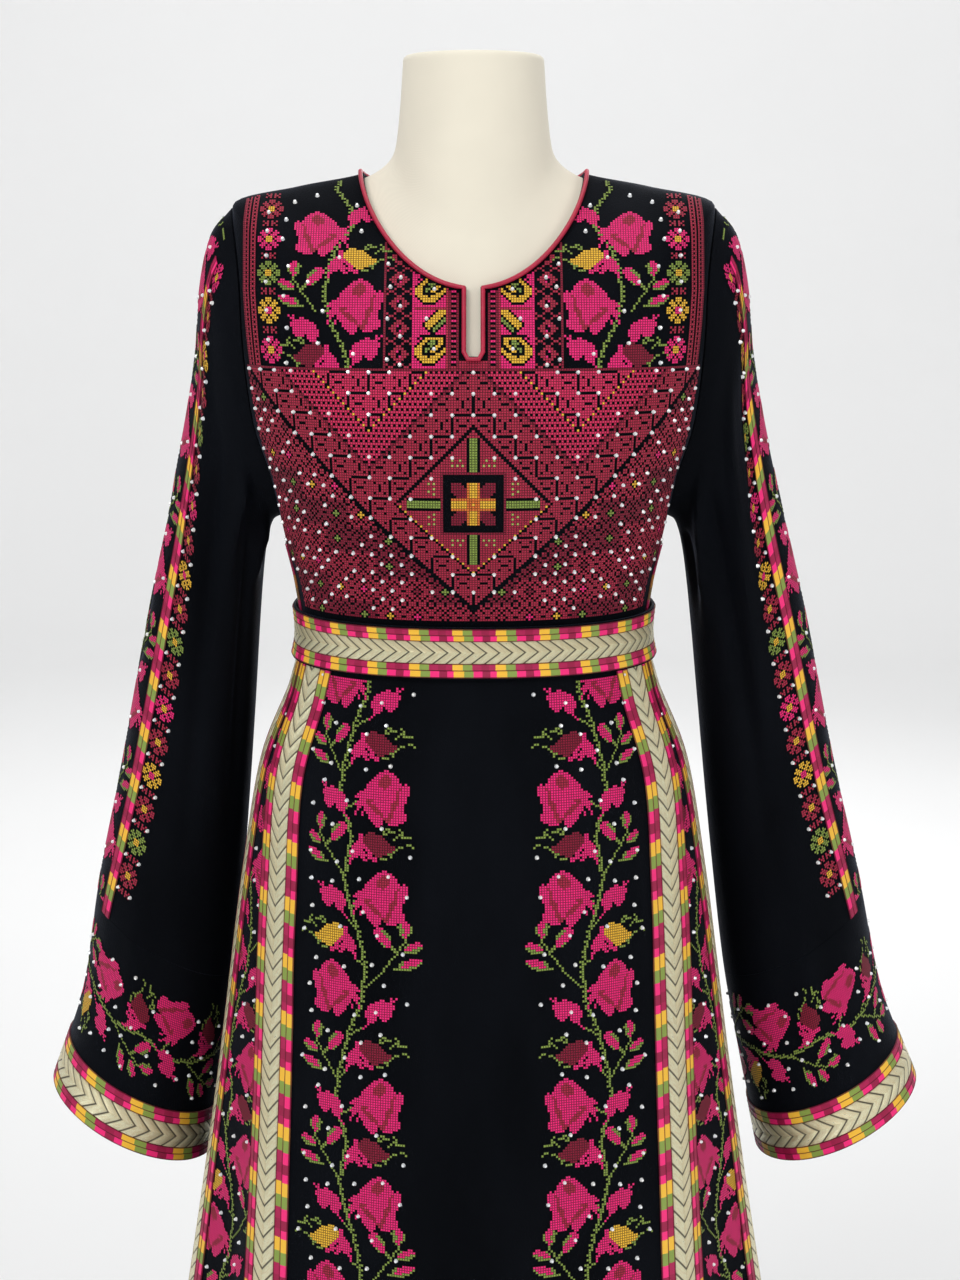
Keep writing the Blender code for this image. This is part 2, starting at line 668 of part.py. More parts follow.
def make_sleeves():
    for side in SIDES:
        surface = sleeve_of(side)
        gap = SEAM_GAP / 2 * float(levels_per_metre(surface, CUFF_LEVEL, 0.0))

        def full_turn(u, levels):
            return 360.0 * np.asarray(u)

        seam_level = CUFF_LEVEL - gap
        upper = between(SLEEVE_START_LEVEL, seam_level)
        cloth(f"sleeve_{side}", upper, full_turn, SLEEVE_COLUMNS_ROUND, SLEEVE_ROWS_DOWN, surface, closed=True)
        cuff_levels = (CUFF_LEVEL + gap, 8.5, 9.0, CUFF_BAND_LEVEL, HEM_LEVEL)

        def cuff(v, cuff_levels=cuff_levels):
            return np.interp(np.asarray(v) * 4, range(5), cuff_levels)

        cloth(f"cuff_{side}", cuff, full_turn, 20, 4, surface, closed=True)
        row = (seam_level - SLEEVE_START_LEVEL) / SLEEVE_ROWS_DOWN
        level = between(SLEEVE_START_LEVEL + row, seam_level)
        for part, edge in (("front", 1.0), ("back", -1.0)):
            name = f"sleeve_braid_{side}_{part}"
            arc_band(name, "braid", surface, level, SIDES[side] * edge * SLEEVE_BRAID_ARC, SLEEVE_ROWS_DOWN - 1)
        band_levels = (CUFF_BAND_LEVEL, HEM_LEVEL)
        for part, offset, width, slot in BANDS:
            place_name = {"braid_front": "braid_upper", "braid_back": "braid_hem"}.get(part, part)
            up = offset - (GOLD_WIDTH / 2 + BRAID_WIDTH + 3 * SEAM_GAP)
            ring_band(f"cuff_{side}_{place_name}", slot, surface, band_levels, SEAM_GAP, up, width, 20)


def make_binding():
    """The cord round the neck opening and down both sides of its slit, lying on the edge of the cloth."""
    away = SLIT_HALF_WIDTH + BINDING_RADIUS
    bottom = slit_level() - away * float(levels_per_metre(body, slit_level(), 0.0)) * BINDING_FOOT
    turns = np.arange(10.0, 351.0, 10.0)
    neck = NECK_LEVEL - BINDING_RADIUS * levels_per_metre(body, np.full(turns.shape, NECK_LEVEL), turns)
    neck_start = float(neck[0])
    side_levels = np.linspace(bottom, neck_start, 7)[1:]
    share = away / BODY("half_width", side_levels)
    side_turns = np.degrees(np.arcsin(share ** (BODY("square", side_levels) / 2)))
    foot_turn = float(side_turns[0]) * 0.5
    levels = np.concatenate([[bottom], side_levels, neck, side_levels[::-1], [bottom]])
    angles = np.concatenate([[foot_turn], side_turns, turns, -side_turns[::-1], [-foot_turn]])
    path = lift(body, levels, angles, np.full(levels.shape, BINDING_RADIUS + BINDING_ROOM))
    curve = bpy.data.curves.new("neck_binding", "CURVE")
    curve.dimensions = "3D"
    curve.bevel_depth = BINDING_RADIUS
    curve.bevel_resolution = 1
    spline = curve.splines.new("POLY")
    spline.points.add(len(path) - 1)
    for point, at in zip(spline.points, path):
        point.co = (*at, 1.0)
    spline.use_cyclic_u = True
    curve.materials.append(material("binding"))
    made = bpy.data.objects.new("neck_binding", curve)
    COLLECTION.objects.link(made)


def form_surface(level, angle):
    """The dress form, inside the cloth by the cloth's thickness, a small gap and the ease."""
    side_share = np.abs(np.sin(np.radians(angle))) ** 4
    ease = EASE("round", level) + EASE("side", level) * side_share
    in_cloth = 1 - smooth((level - NECK_LEVEL) / 1.0)
    return lift(plain_body, level, angle, -((VELVET + FORM_GAP) * in_cloth + ease))


def plain_body(level, angle):
    """The body's surface with no flutes."""
    point = body(level, angle)
    far = np.maximum(np.hypot(point[..., 0], point[..., 1]), 0.01)
    grown = flutes(angle, point[..., 2]) / far
    point[..., :2] /= (1 + grown)[..., None]
    return point


def make_form():
    bottom = float(level_at(FORM_BOTTOM_Z))
    hips = [bottom, *(level for level in SKIRT_LEVELS if level > bottom + FORM_FIRST_ROW)]
    chest = [WAIST_LEVEL, *SIDE_PANEL_LEVELS, *armhole_levels(), *SHOULDER_LEVELS]
    levels_up = np.concatenate([hips, chest, FORM_NECK_LEVELS])
    rows = len(levels_up) - 1
    bm = sheet_grid(FORM_COLUMNS_ROUND, rows, closed=True)
    place(bm.verts, lambda u, v: form_surface(np.interp(v * rows, range(rows + 1), levels_up), u * 360.0))
    for cap in (FORM_BOTTOM_Z, FORM_TOP_Z):
        edges = [e for e in bm.edges if e.is_boundary and abs(e.verts[0].co.z - cap) < FORM_CAP_REACH]
        for vert in {v for e in edges for v in e.verts}:
            vert.co.z = cap
        bmesh.ops.edgeloop_fill(bm, edges=edges)
    add("form_torso", bm, "form_cloth")
    pole = bmesh.new()
    low, high = BASE_THICKNESS + SEAM_GAP, FORM_BOTTOM_Z - SEAM_GAP
    bmesh.ops.create_cone(
        pole,
        cap_ends=True,
        segments=20,
        radius1=POLE_RADIUS,
        radius2=POLE_RADIUS,
        depth=high - low,
        matrix=Matrix.Translation((0, 0, (low + high) / 2)),
    )
    add("form_pole", pole, "steel")
    base = bmesh.new()
    bmesh.ops.create_cone(
        base,
        cap_ends=True,
        segments=40,
        radius1=BASE_RADIUS,
        radius2=BASE_RADIUS,
        depth=BASE_THICKNESS,
        matrix=Matrix.Translation((0, 0, BASE_THICKNESS / 2)),
    )
    rim = [e for e in base.edges if abs(e.verts[0].co.z - e.verts[1].co.z) < 1e-6]
    bmesh.ops.bevel(base, geom=rim, offset=BASE_BEVEL, segments=2, profile=0.5, affect="EDGES")
    add("form_base", base, "steel")


for old in list(bpy.data.objects):
    bpy.data.objects.remove(old)
COLLECTION = bpy.data.collections.new("thobe")
bpy.context.scene.collection.children.link(COLLECTION)
make_form()
make_bodice()
make_skirt()
make_belt()
make_sleeves()
make_binding()
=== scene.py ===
import math

import bmesh
import bpy
import numpy as np
from bpy.props import FloatProperty, FloatVectorProperty, PointerProperty
from mathutils import Matrix, Vector


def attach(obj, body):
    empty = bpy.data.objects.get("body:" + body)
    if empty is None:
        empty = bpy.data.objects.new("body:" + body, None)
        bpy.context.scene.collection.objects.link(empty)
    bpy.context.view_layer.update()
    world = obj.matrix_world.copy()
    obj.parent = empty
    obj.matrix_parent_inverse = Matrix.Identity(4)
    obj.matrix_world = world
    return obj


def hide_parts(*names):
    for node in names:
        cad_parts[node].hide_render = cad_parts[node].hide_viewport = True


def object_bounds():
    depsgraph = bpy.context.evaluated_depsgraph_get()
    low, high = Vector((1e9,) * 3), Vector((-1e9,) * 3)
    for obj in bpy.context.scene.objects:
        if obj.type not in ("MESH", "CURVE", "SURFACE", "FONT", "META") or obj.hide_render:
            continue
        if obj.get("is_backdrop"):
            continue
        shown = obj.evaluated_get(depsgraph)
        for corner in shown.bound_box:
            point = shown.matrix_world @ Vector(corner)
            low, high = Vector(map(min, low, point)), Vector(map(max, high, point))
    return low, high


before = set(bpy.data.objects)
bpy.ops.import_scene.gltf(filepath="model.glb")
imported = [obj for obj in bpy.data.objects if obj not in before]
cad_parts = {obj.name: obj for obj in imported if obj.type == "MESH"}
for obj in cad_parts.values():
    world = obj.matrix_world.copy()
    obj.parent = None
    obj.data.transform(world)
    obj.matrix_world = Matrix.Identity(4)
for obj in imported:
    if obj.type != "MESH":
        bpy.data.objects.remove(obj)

bl_info = {
    "name": "Thobe on a dress form",
    "version": (1, 0, 0),
    "blender": (4, 5, 0),
    "location": "View3D > Sidebar > Thobe",
    "description": "Makes a thobe's velvet, cross-stitch, ribbons, braids and stones on its packed frame",
    "category": "Object",
}

CAD_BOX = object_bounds()

# Cloth and seams, as in the part's source
VELVET = 0.0020
SEAM_GAP = 0.0003
SHOULDER_GAP = 0.0007
UNDERARM_GAPS = 8
FORM_GAP = 0.0018

# Applied bands, as in the part's source
GOLD_WIDTH = 0.0205
BRAID_WIDTH = 0.0118
BAND_HEIGHT = 0.0012
BAND_GAP = 0.0007
SLEEVE_BRAID_GAP = 0.0005
SLEEVE_BRAID_ARC = 0.0450

# How high the bands rise, as shares of their height: along a chevron, across the ribbon, across a braid
PAD_PHASES = (0.0, 0.08, 0.5, 0.92)
PAD_HEIGHTS = (0.25, 0.85, 1.0, 0.85)
PAD_ACROSS = (-1.0, -0.84, -0.5, -0.12, 0.0, 0.12, 0.5, 0.84, 1.0)
PAD_CROWN = (0.45, 0.85, 1.0, 0.9, 0.45, 0.9, 1.0, 0.85, 0.45)
CHEVRON_SLANT = 1.15
BRAID_ACROSS = (-1.0, -0.93, -0.86, -0.80, -0.45, -0.10, -0.06, 0.0, 0.06, 0.10, 0.45, 0.80, 0.86, 0.93, 1.0)
BRAID_HEIGHTS = (0.50, 0.95, 0.55, 0.55, 0.85, 0.55, 0.60, 1.0, 0.60, 0.55, 0.85, 0.55, 0.55, 0.95, 0.50)
BRAID_STEP = 0.0080

# The three bands on a seam: name, offset from the seam and width
BANDS = (
    ("braid_front", -(GOLD_WIDTH + BRAID_WIDTH) / 2 - SEAM_GAP, BRAID_WIDTH),
    ("gold", 0.0, GOLD_WIDTH),
    ("braid_back", (GOLD_WIDTH + BRAID_WIDTH) / 2 + SEAM_GAP, BRAID_WIDTH),
)

# Each panel's cut without seam allowances: its widest and longest, and its area, in metres.
CUTS = {
    "bodice_front": (0.491, 0.480, 0.130),
    "bodice_back": (0.451, 0.474, 0.137),
    "bodice_side": (0.079, 0.103, 0.0060),
    "skirt_front": (0.453, 1.083, 0.397),
    "skirt_side": (0.168, 1.084, 0.121),
    "skirt_back": (1.105, 1.086, 0.849),
    "sleeve": (0.560, 0.590, 0.162),
    "cuff": (0.483, 0.178, 0.075),
}
BELT_CUT = (0.790, 0.043)
SKIRT_BAND_LENGTH = 1.083
BODICE_BAND_LENGTH = 0.071
SLEEVE_BRAID_LENGTH = 0.551

# The neck opening, its slit and the cord round them, as in the part's source
SLIT_HALF_WIDTH = 0.0052
BINDING_RADIUS = 0.0017
BINDING_ROOM = 0.0007
BINDING_FOOT = 0.45

# Armhole and side panel, as in the part's source
ARMHOLE_TOP_Z = 1.4060
ARMHOLE_BOTTOM_Z = 1.1667
ARMHOLE_HALF_DEPTH = 0.0540
ARMHOLE_MIDDLE_Z = (ARMHOLE_TOP_Z + ARMHOLE_BOTTOM_Z) / 2
ARMHOLE_HALF_HEIGHT = (ARMHOLE_TOP_Z - ARMHOLE_BOTTOM_Z) / 2
UNDERARM_HALF_DEPTH = 0.0120
SIDE_PANEL_HALF_DEPTH = 0.0400
SIDE_PANEL_TAPER = 0.0350

# Heights and levels, as in the part's source
HEM_Z = 0.0120
WAIST_Z = 1.0780
BELT_HALF_HEIGHT = 0.0215
BELT_ROOM = 0.0025
BELT_GOLD_END = 0.427
BELT_BRAID_START = 0.433
BELT_BRAID_END = 0.950
FORM_BOTTOM_Z = 0.8000
FORM_TOP_Z = 1.5160
WAIST_LEVEL = 7.0
TIP_LEVEL = 13.0
NECK_LEVEL = 15.0
TOP_LEVEL = 18.0
SIDE_PANEL_TOP_LEVEL = 8.80
SLEEVE_START_LEVEL = 0.06
SLEEVE_ROWS_DOWN = 11
CUFF_LEVEL = 8.0
CUFF_BAND_LEVEL = 9.48
HEM_LEVEL = 10.0
ARMHOLE_FADE = 2.5
FLUTE_TOP_Z = 0.9300
SLEEVE_SWING = {"left": 0.004, "right": 0.022}
SIDES = {"left": -1.0, "right": 1.0}

# The stand, as in the part's source
POLE_RADIUS = 0.0160
BASE_RADIUS = 0.1800
BASE_THICKNESS = 0.0140

# How finely the cloth is made and its lines are measured
ARMHOLE_STEPS = 36
SLIT_STEP = 24
LINE_STEPS = 801
RING_STEPS = 721

# Where the embroidery lies, in metres
CHEST_LINE_Z = 1.2870
CHEST_LINE_X = 0.1050
VINE_TOP_OFFSET = 0.0790
VINE_LOW_OFFSET = 0.0880
VINE_LOW_Z = 0.6900
BELT_CLEAR = 0.0030
SEAM_CLEAR = 0.0010
EDGE_CLEAR = 0.0020
NECK_CLEAR = 2 * BINDING_RADIUS + 0.0010
SLIT_CLEAR = 2 * BINDING_RADIUS + 0.0015
SLIT_FOOT_CLEAR = 0.0042
STITCH_ROOT = 0.0002

# Levels: where the vines end over the hem, and the one that the cuffs' vines go round
VINE_END_LEVEL = 0.02
CUFF_VINE_LEVEL = 8.8

# The camera stands where the photograph was taken from.
CAMERA_PLACE = (0.0048, -1.55, 1.383)
CAMERA_PITCH = 11.56
CAMERA_LENS = 55.6

BODY_COLUMNS = ("level", "half_width", "side_z", "front", "front_z", "back", "back_z", "square", "dip")
BODY_ROWS = (
    (0.0, 0.3100, HEM_Z, 0.2580, HEM_Z, 0.2640, HEM_Z, 2.00, 2.0),
    (1.0, 0.2720, 0.3000, 0.2220, 0.3000, 0.2280, 0.3000, 2.00, 2.0),
    (2.0, 0.2400, 0.5060, 0.1920, 0.5060, 0.1980, 0.5060, 2.05, 2.0),
    (3.0, 0.2130, 0.6900, 0.1660, 0.6900, 0.1720, 0.6900, 2.10, 2.0),
    (4.0, 0.1877, 0.8750, 0.1400, 0.8750, 0.1460, 0.8750, 2.15, 2.0),
    (5.0, 0.1700, 0.9725, 0.1270, 0.9725, 0.1300, 0.9725, 2.20, 2.0),
    (6.0, 0.1450, 1.0365, 0.1090, 1.0365, 0.1040, 1.0365, 2.25, 2.0),
    (7.0, 0.1360, WAIST_Z, 0.1010, WAIST_Z, 0.0940, WAIST_Z, 2.30, 2.0),
    (8.0, 0.1400, 1.1150, 0.1070, 1.1150, 0.0970, 1.1150, 2.30, 2.0),
    (9.0, 0.1490, 1.1560, 0.1190, 1.1560, 0.1020, 1.1560, 2.35, 2.0),
    (10.0, 0.1580, 1.1980, 0.1290, 1.1960, 0.1080, 1.1960, 2.40, 2.0),
    (11.0, 0.1760, 1.2500, 0.1280, 1.2380, 0.1110, 1.2440, 2.40, 2.0),
    (12.0, 0.1865, 1.3300, 0.1130, 1.2900, 0.1050, 1.3140, 2.35, 2.0),
    (TIP_LEVEL, 0.1840, ARMHOLE_TOP_Z, 0.0950, 1.3220, 0.0880, 1.3720, 2.15, 1.9),
    (14.0, 0.1340, 1.4200, 0.0880, 1.3360, 0.0760, 1.3960, 2.05, 1.65),
    (NECK_LEVEL, 0.0840, 1.4300, 0.0830, 1.3460, 0.0640, 1.4120, 2.00, 1.35),
    (16.0, 0.0610, 1.4440, 0.0700, 1.3800, 0.0560, 1.4300, 2.00, 1.5),
    (17.0, 0.0560, 1.4760, 0.0585, 1.4560, 0.0550, 1.4720, 2.00, 1.6),
    (TOP_LEVEL, 0.0530, FORM_TOP_Z, 0.0530, FORM_TOP_Z, 0.0530, FORM_TOP_Z, 2.00, 2.0),
)

EASE_COLUMNS = ("level", "side", "round")
EASE_ROWS = (
    (3.0, 0.045, 0.045),
    (4.0, 0.018, 0.018),
    (6.0, 0.004, 0.006),
    (WAIST_LEVEL, 0.003, 0.006),
    (9.0, 0.002, 0.003),
    (10.0, 0.003, 0.0),
    (11.0, 0.012, 0.0),
    (12.0, 0.011, 0.0),
    (TIP_LEVEL, 0.0, 0.0),
    (TOP_LEVEL, 0.0, 0.0),
)

SEAM_COLUMNS = ("level", "front_seam", "side_seam")
SEAM_ROWS = (
    (0.0, 42.0, 75.0),
    (2.0, 43.5, 77.0),
    (3.0, 47.5, 79.0),
    (4.0, 53.5, 80.5),
    (5.0, 58.0, 81.5),
    (6.0, 60.5, 84.5),
    (WAIST_LEVEL, 61.0, 86.0),
)

# The skirt's flutes: the angle, half width and swell of each
FLUTE_ROWS = (
    (2.0, 15.0, 0.007),
    (-27.0, 11.0, -0.009),
    (25.0, 12.0, -0.007),
    (-45.0, 9.0, 0.012),
    (44.0, 9.0, 0.014),
    (-61.0, 8.0, -0.017),
    (60.0, 8.0, -0.015),
    (-77.0, 9.0, 0.013),
    (77.0, 9.0, 0.015),
    (-96.0, 10.0, -0.019),
    (97.0, 10.0, -0.021),
    (-116.0, 10.0, 0.018),
    (117.0, 11.0, 0.020),
    (-137.0, 10.0, -0.020),
    (139.0, 11.0, -0.018),
    (-158.0, 10.0, 0.017),
    (161.0, 10.0, 0.018),
    (180.0, 10.0, -0.016),
)

SLEEVE_COLUMNS = ("level", "outer_x", "outer_z", "inner_x", "inner_z", "half_depth", "middle_y")
SLEEVE_ROWS = (
    (0.0, 0.1840, 1.4055, 0.1520, 1.1672, 0.0535, 0.000),
    (1.0, 0.2020, 1.3830, 0.1580, 1.1640, 0.0500, 0.002),
    (2.0, 0.2125, 1.3400, 0.1625, 1.1540, 0.0475, 0.007),
    (3.0, 0.2170, 1.2980, 0.1665, 1.1360, 0.0460, 0.013),
    (4.0, 0.2260, 1.2500, 0.1700, 1.1100, 0.0450, 0.020),
    (5.0, 0.2420, 1.1800, 0.1740, 1.0700, 0.0450, 0.028),
    (6.0, 0.2640, 1.0880, 0.1790, 1.0100, 0.0470, 0.036),
    (7.0, 0.2900, 0.9620, 0.1890, 0.9000, 0.0530, 0.046),
    (8.0, 0.3180, 0.8380, 0.2030, 0.7680, 0.0630, 0.056),
    (9.0, 0.3310, 0.7600, 0.2150, 0.6860, 0.0710, 0.063),
    (10.0, 0.3610, 0.6700, 0.2270, 0.6000, 0.0780, 0.068),
)

# Creases: the angle, lean, low end, high end, half width and how far out of each. Each is a
# soft ridge, or a trough where out is below zero, and fades at both ends.
BODY_CREASES = (
    (-13.0, 5.0, 0.60, 1.050, 4.5, -0.0016),
    (4.0, -4.0, 0.72, 1.052, 5.0, 0.0012),
    (17.0, -7.0, 0.56, 1.048, 4.0, -0.0018),
    (-38.0, 9.0, 0.78, 1.050, 4.0, 0.0018),
    (39.0, -8.0, 0.82, 1.050, 4.5, 0.0016),
    (-7.0, 3.0, 0.10, 0.520, 5.0, 0.0030),
    (14.0, 6.0, 0.06, 0.430, 4.0, -0.0030),
    (104.0, -9.0, 0.52, 1.045, 4.5, -0.0050),
    (118.0, -6.0, 0.64, 1.050, 4.0, 0.0046),
    (133.0, -9.0, 0.42, 1.040, 5.0, -0.0066),
    (149.0, -5.0, 0.60, 1.050, 4.5, 0.0056),
    (166.0, -4.0, 0.48, 1.045, 4.0, -0.0052),
    (-177.0, 3.0, 0.66, 1.050, 5.0, 0.0044),
    (-163.0, 6.0, 0.44, 1.045, 4.5, -0.0064),
    (-146.0, 5.0, 0.61, 1.050, 4.0, 0.0054),
    (-129.0, 9.0, 0.40, 1.042, 5.0, -0.0064),
    (-112.0, 7.0, 0.62, 1.048, 4.5, 0.0046),
    (126.0, 7.0, 0.08, 0.600, 4.0, 0.0070),
    (-124.0, -6.0, 0.05, 0.560, 4.5, -0.0070),
    (171.0, 5.0, 0.07, 0.620, 4.0, 0.0062),
    (148.0, -6.0, 0.10, 0.540, 4.5, -0.0060),
    (-149.0, 5.0, 0.06, 0.640, 4.5, 0.0066),
    (-105.0, 4.0, 0.12, 0.500, 4.0, 0.0050),
    (52.0, 34.0, 1.125, 1.215, 5.0, 0.0011),
    (-55.0, -30.0, 1.130, 1.205, 5.5, 0.0010),
    (-44.0, 24.0, 1.100, 1.150, 4.0, -0.0009),
    (43.0, -26.0, 1.098, 1.146, 4.0, -0.0009),
    (152.0, 20.0, 1.100, 1.215, 6.0, 0.0016),
    (-150.0, -23.0, 1.100, 1.225, 6.0, 0.0016),
    (176.0, 8.0, 1.105, 1.190, 5.0, -0.0011),
    (-168.0, -14.0, 1.104, 1.170, 4.5, 0.0013),
)
# The same down a sleeve, between levels instead of heights.
SLEEVE_CREASES = {
    "left": (
        (66.0, 30.0, 1.6, 6.6, 8.0, 0.0042),
        (92.0, 22.0, 2.2, 7.8, 8.0, -0.0050),
        (116.0, -16.0, 1.3, 5.2, 9.0, 0.0062),
        (139.0, 12.0, 3.0, 7.6, 9.0, -0.0056),
        (158.0, -20.0, 1.2, 4.4, 8.0, 0.0048),
        (-62.0, -26.0, 1.5, 6.2, 8.0, 0.0048),
        (-88.0, -18.0, 2.4, 8.2, 9.0, -0.0056),
        (-112.0, 15.0, 1.4, 5.6, 9.0, 0.0062),
        (-136.0, -14.0, 3.1, 7.9, 9.0, -0.0053),
        (76.0, 5.0, 7.4, 9.3, 10.0, 0.0042),
        (-104.0, -6.0, 7.6, 9.4, 11.0, 0.0048),
        (9.0, 12.0, 4.6, 6.8, 9.0, -0.0020),
    ),
    "right": (
        (61.0, 27.0, 1.8, 6.9, 8.0, -0.0042),
        (85.0, 24.0, 1.5, 7.0, 8.0, 0.0053),
        (109.0, -12.0, 2.2, 7.6, 9.0, -0.0059),
        (133.0, 16.0, 1.4, 5.4, 9.0, 0.0059),
        (155.0, -17.0, 2.0, 5.0, 8.0, -0.0042),
        (-66.0, -24.0, 1.7, 6.6, 8.0, -0.0045),
        (-91.0, -20.0, 1.4, 5.8, 9.0, 0.0059),
        (-116.0, 12.0, 2.6, 8.0, 9.0, -0.0059),
        (-141.0, -15.0, 1.5, 5.3, 9.0, 0.0050),
        (92.0, 7.0, 7.5, 9.4, 11.0, 0.0045),
        (-80.0, -5.0, 7.3, 9.3, 10.0, 0.0045),
        (-7.0, -10.0, 3.8, 6.2, 9.0, -0.0020),
    ),
}
# A crease fades over this share of its length at each end.
CREASE_END = 0.34

# Threads by the letter that stands for each in the charts
THREADS = {".": "none", "p": "hot_pink", "c": "crimson", "m": "maroon", "g": "green", "l": "light_green",
           "y": "yellow", "o": "orange", "r": "rose_red"}
CODE = {letter: number for number, letter in enumerate(THREADS)}

CHARTS = {
    "rose": """
        ............pp........
        ..........pppppp......
        .........pppccppp.....
        ........pppccccppp....
        .......pppcccccppp....
        ......ppppcccccpppp.p.
        .....pppppccccpppppppp
        .....pppppppcpppppcppp
        ....pppppppppppppcpppp
        ..pppppppppppppppcpppp
        .ppppppppppppppppcppp.
        pppppppppppppppppcppp.
        ..pppcccppppppppccppp.
        .ppppccppppppppcccpp..
        ppppppcccppppppccppp..
        .pp.pppcccpppppccppp..
        .p..ppppcccppppcpppp..
        p..p.ppppcccppccppppp.
        p..p..pppppcppccppppp.
        ......ppppppcccpppppp.
        .......ppppp.ccppppp..
        ........pppp..pppp....
        .........pp...........""",
    "bud": """
        ...............gg...g.....
        ..............g.ggg..g....
        ........mmm...gg....gg....
        ....pp.mmmmmmm.....g.gggg.
        ....ppmmmmmmmmm...g.......
        ....ppmmmmmmmmmm..........
        ...pppmmmmmmmmmmm......gg.
        ..pppppmmmmmmmmmmmm.gg...g
        .pppppppmmmmmmmmmmmg......
        .ppppp.ppmmmmmmmmmg.......
        ppppppp.ppmmmmmmgg........
        pppppppppp.mmm...g........
        .ppp.pp.pppp.ggg..........
        pp....pp..pp..............
        p.........................
        p.........................""",
    "sprig": """
        ......pp............
        .....pppg...........
        ....gpppgg..........
        ....gppgg......ppp..
        ....gppgg.....ggppp.
        .....gppg....ggpppp.
        ......pg....ggpppp..
        ......g.....gppppp..
        .pp...g.....ppppp...
        pppppg.g....pppg....
        ggppppg.g..gppg.....
        .gggppp.g.gg........
        ..ggggg..gg.........
        .........g..........
        ..........g.........
        ppppp......g........
        gppppppg....g.......
        .gpppppgg...g.......
        ..gggpppg....g......
        ....ggggggg...g.....
        ..............g.....
        ...............g....""",
    "small_flower": """
        .p.p............
        ..pp..pp........
        ...ppppppp......
        ..pppppppppp....
        ..ppppppppppp...
        ...pppppppppp...
        ...ppppppppppp..
        ...ppppppppppp..
        ....pppp.ppppp..
        .....pp..pppp...
        ..........ppp...
        ............p...
        .............p..
        ..............p.""",
    "rosette": """
        ....ppp....
        ..p.ppp.p..
        .ppp.p.ppp.
        ..ppp.ppp..
        pp.pyyyp.pp
        ppp.yyy.ppp
        pp.pyyyp.pp
        ..ppp.ppp..
        .ppp.p.ppp.
        ..p.ppp.p..
        ....ppp....""",
    "link": """
        c.c.c.c
        .cc.cc.
        c.c.c.c""",
    "block": """
        c.ccc.ccc.c
        .cc.ccc.cc.
        cc.c.c.c.cc
        c.ccc.ccc.c
        cccc.m.cccc
        .cc.mmm.cc.
        cccc.m.cccc
        c.ccc.ccc.c
        cc.c.c.c.cc
        .cc.ccc.cc.
        c.ccc.ccc.c""",
    "hooks": """
        yyy.pppppppp
        yyyy.ppppppp
        .yyyy.pppppp
        g.yyyy.ppppp
        gg.yyyy.pppp
        .gg.yyyy.ppp
        p.gg.yyy.ppp
        pp.gg.y.pppp
        ppp.g..ppppp
        pppp..pppppp
        ..........pp
        .yyyyyyy.p.p
        .yy.gg.yy.pp
        .yy.ggg.yy.p
        ..yy.g...yy.
        y..yy.gg.yyy
        yy..yy.g.yyy
        .yyy.....yyy
        p.yyyy.yyyy.
        pp.yyyyyyy.p
        ppp.yyyyy.pp
        pppp.....ppp
        pppppppppppp
        cccccccccccc""",
    "lozenges": """
        ....cc....
        ...cccc...
        ..cc.pcc..
        .ccc..ccc.
        ..ccp.cc..
        ...cccc...
        ....cc....
        c..c..c..c
        .cc....cc.
        c..c..c..c""",
    "ladder": """
        cmppmc
        cm..mc
        cmccmc
        cm..mc""",
}

# The vine repeats every 124 rows, and starts 15 rows under the belt.
VINE_COLUMNS = 55
VINE_REPEAT = 124
VINE_START = 15
VINE_MIDDLE = 28
# Each motif's row, column, name and whether it is mirrored
VINE_MOTIFS = (
    (0, 2, "sprig", False),
    (3, 22, "bud", False),
    (20, 24, "rose", False),
    (27, 7, "small_flower", False),
    (39, 2, "sprig", False),
    (43, 22, "bud", False),
    (60, 24, "rose", False),
    (67, 7, "small_flower", False),
    (81, 0, "yellow_bud", True),
    (80, 32, "sprig", True),
    (98, 6, "rose", True),
    (111, 28, "small_flower", True),
)
# The stem's corners and the stalks that join the motifs to it, as rows and columns
VINE_STEM = (
    (0, 23), (8, 21), (20, 18), (30, 17), (36, 18), (43, 21), (48, 22), (58, 20), (64, 19), (75, 22),
    (86, 26), (98, 29), (112, 28), (118, 26), (124, 23),
)
VINE_STALKS = (
    ((17, 22), (20, 20)), ((33, 24), (36, 20)), ((40, 21), (43, 22)), ((60, 17), (63, 19)),
    ((57, 22), (60, 21)), ((73, 24), (77, 23)), ((80, 21), (84, 25)), ((96, 25), (99, 29)),
    ((101, 36), (107, 30)), ((113, 26), (116, 28)), ((124, 28), (127, 24)),
)
VINE_STONES = (
    (2, 36), (3, 13), (6, 28), (13, 21), (15, 1), (18, 38), (19, 12), (20, 28), (26, 9), (33, 20),
    (36, 3), (43, 14), (43, 35), (53, 23), (54, 46), (55, 3), (58, 16), (62, 38), (64, 26), (66, 4),
    (66, 14), (70, 45), (77, 5), (77, 28), (84, 18), (86, 34), (87, 1), (93, 44), (98, 7), (98, 32),
    (100, 20), (106, 37), (109, 4), (113, 46), (117, 34), (120, 5), (119, 25),
)

# A sleeve's narrower vine runs between its braids, with columns of rosettes outside them.
SLEEVE_CHART_COLUMNS = 77
SLEEVE_STEM_COLUMN = 38
SLEEVE_VINE_HALF = 20
SLEEVE_REPEAT = 62
SLEEVE_VINE = (
    (2, 16, "rose", False),
    (1, 40, "sprig", True),
    (24, 41, "small_flower", True),
    (27, 15, "small_flower", False),
    (34, 37, "rose", True),
    (42, 17, "sprig", False),
)
SLEEVE_STEM = ((0, 38), (8, 39), (16, 41), (24, 39), (31, 37), (40, 35), (50, 34), (58, 37), (62, 38))
ROSETTE_COLUMN = 27
ROSETTE_STEP = 16
ROSETTE_THREADS = ("p", "c", "y", "c", "g", "c")
SLEEVE_STONES = ((5, 24), (12, 50), (20, 36), (26, 26), (29, 49), (38, 24), (45, 55), (52, 46), (60, 29))

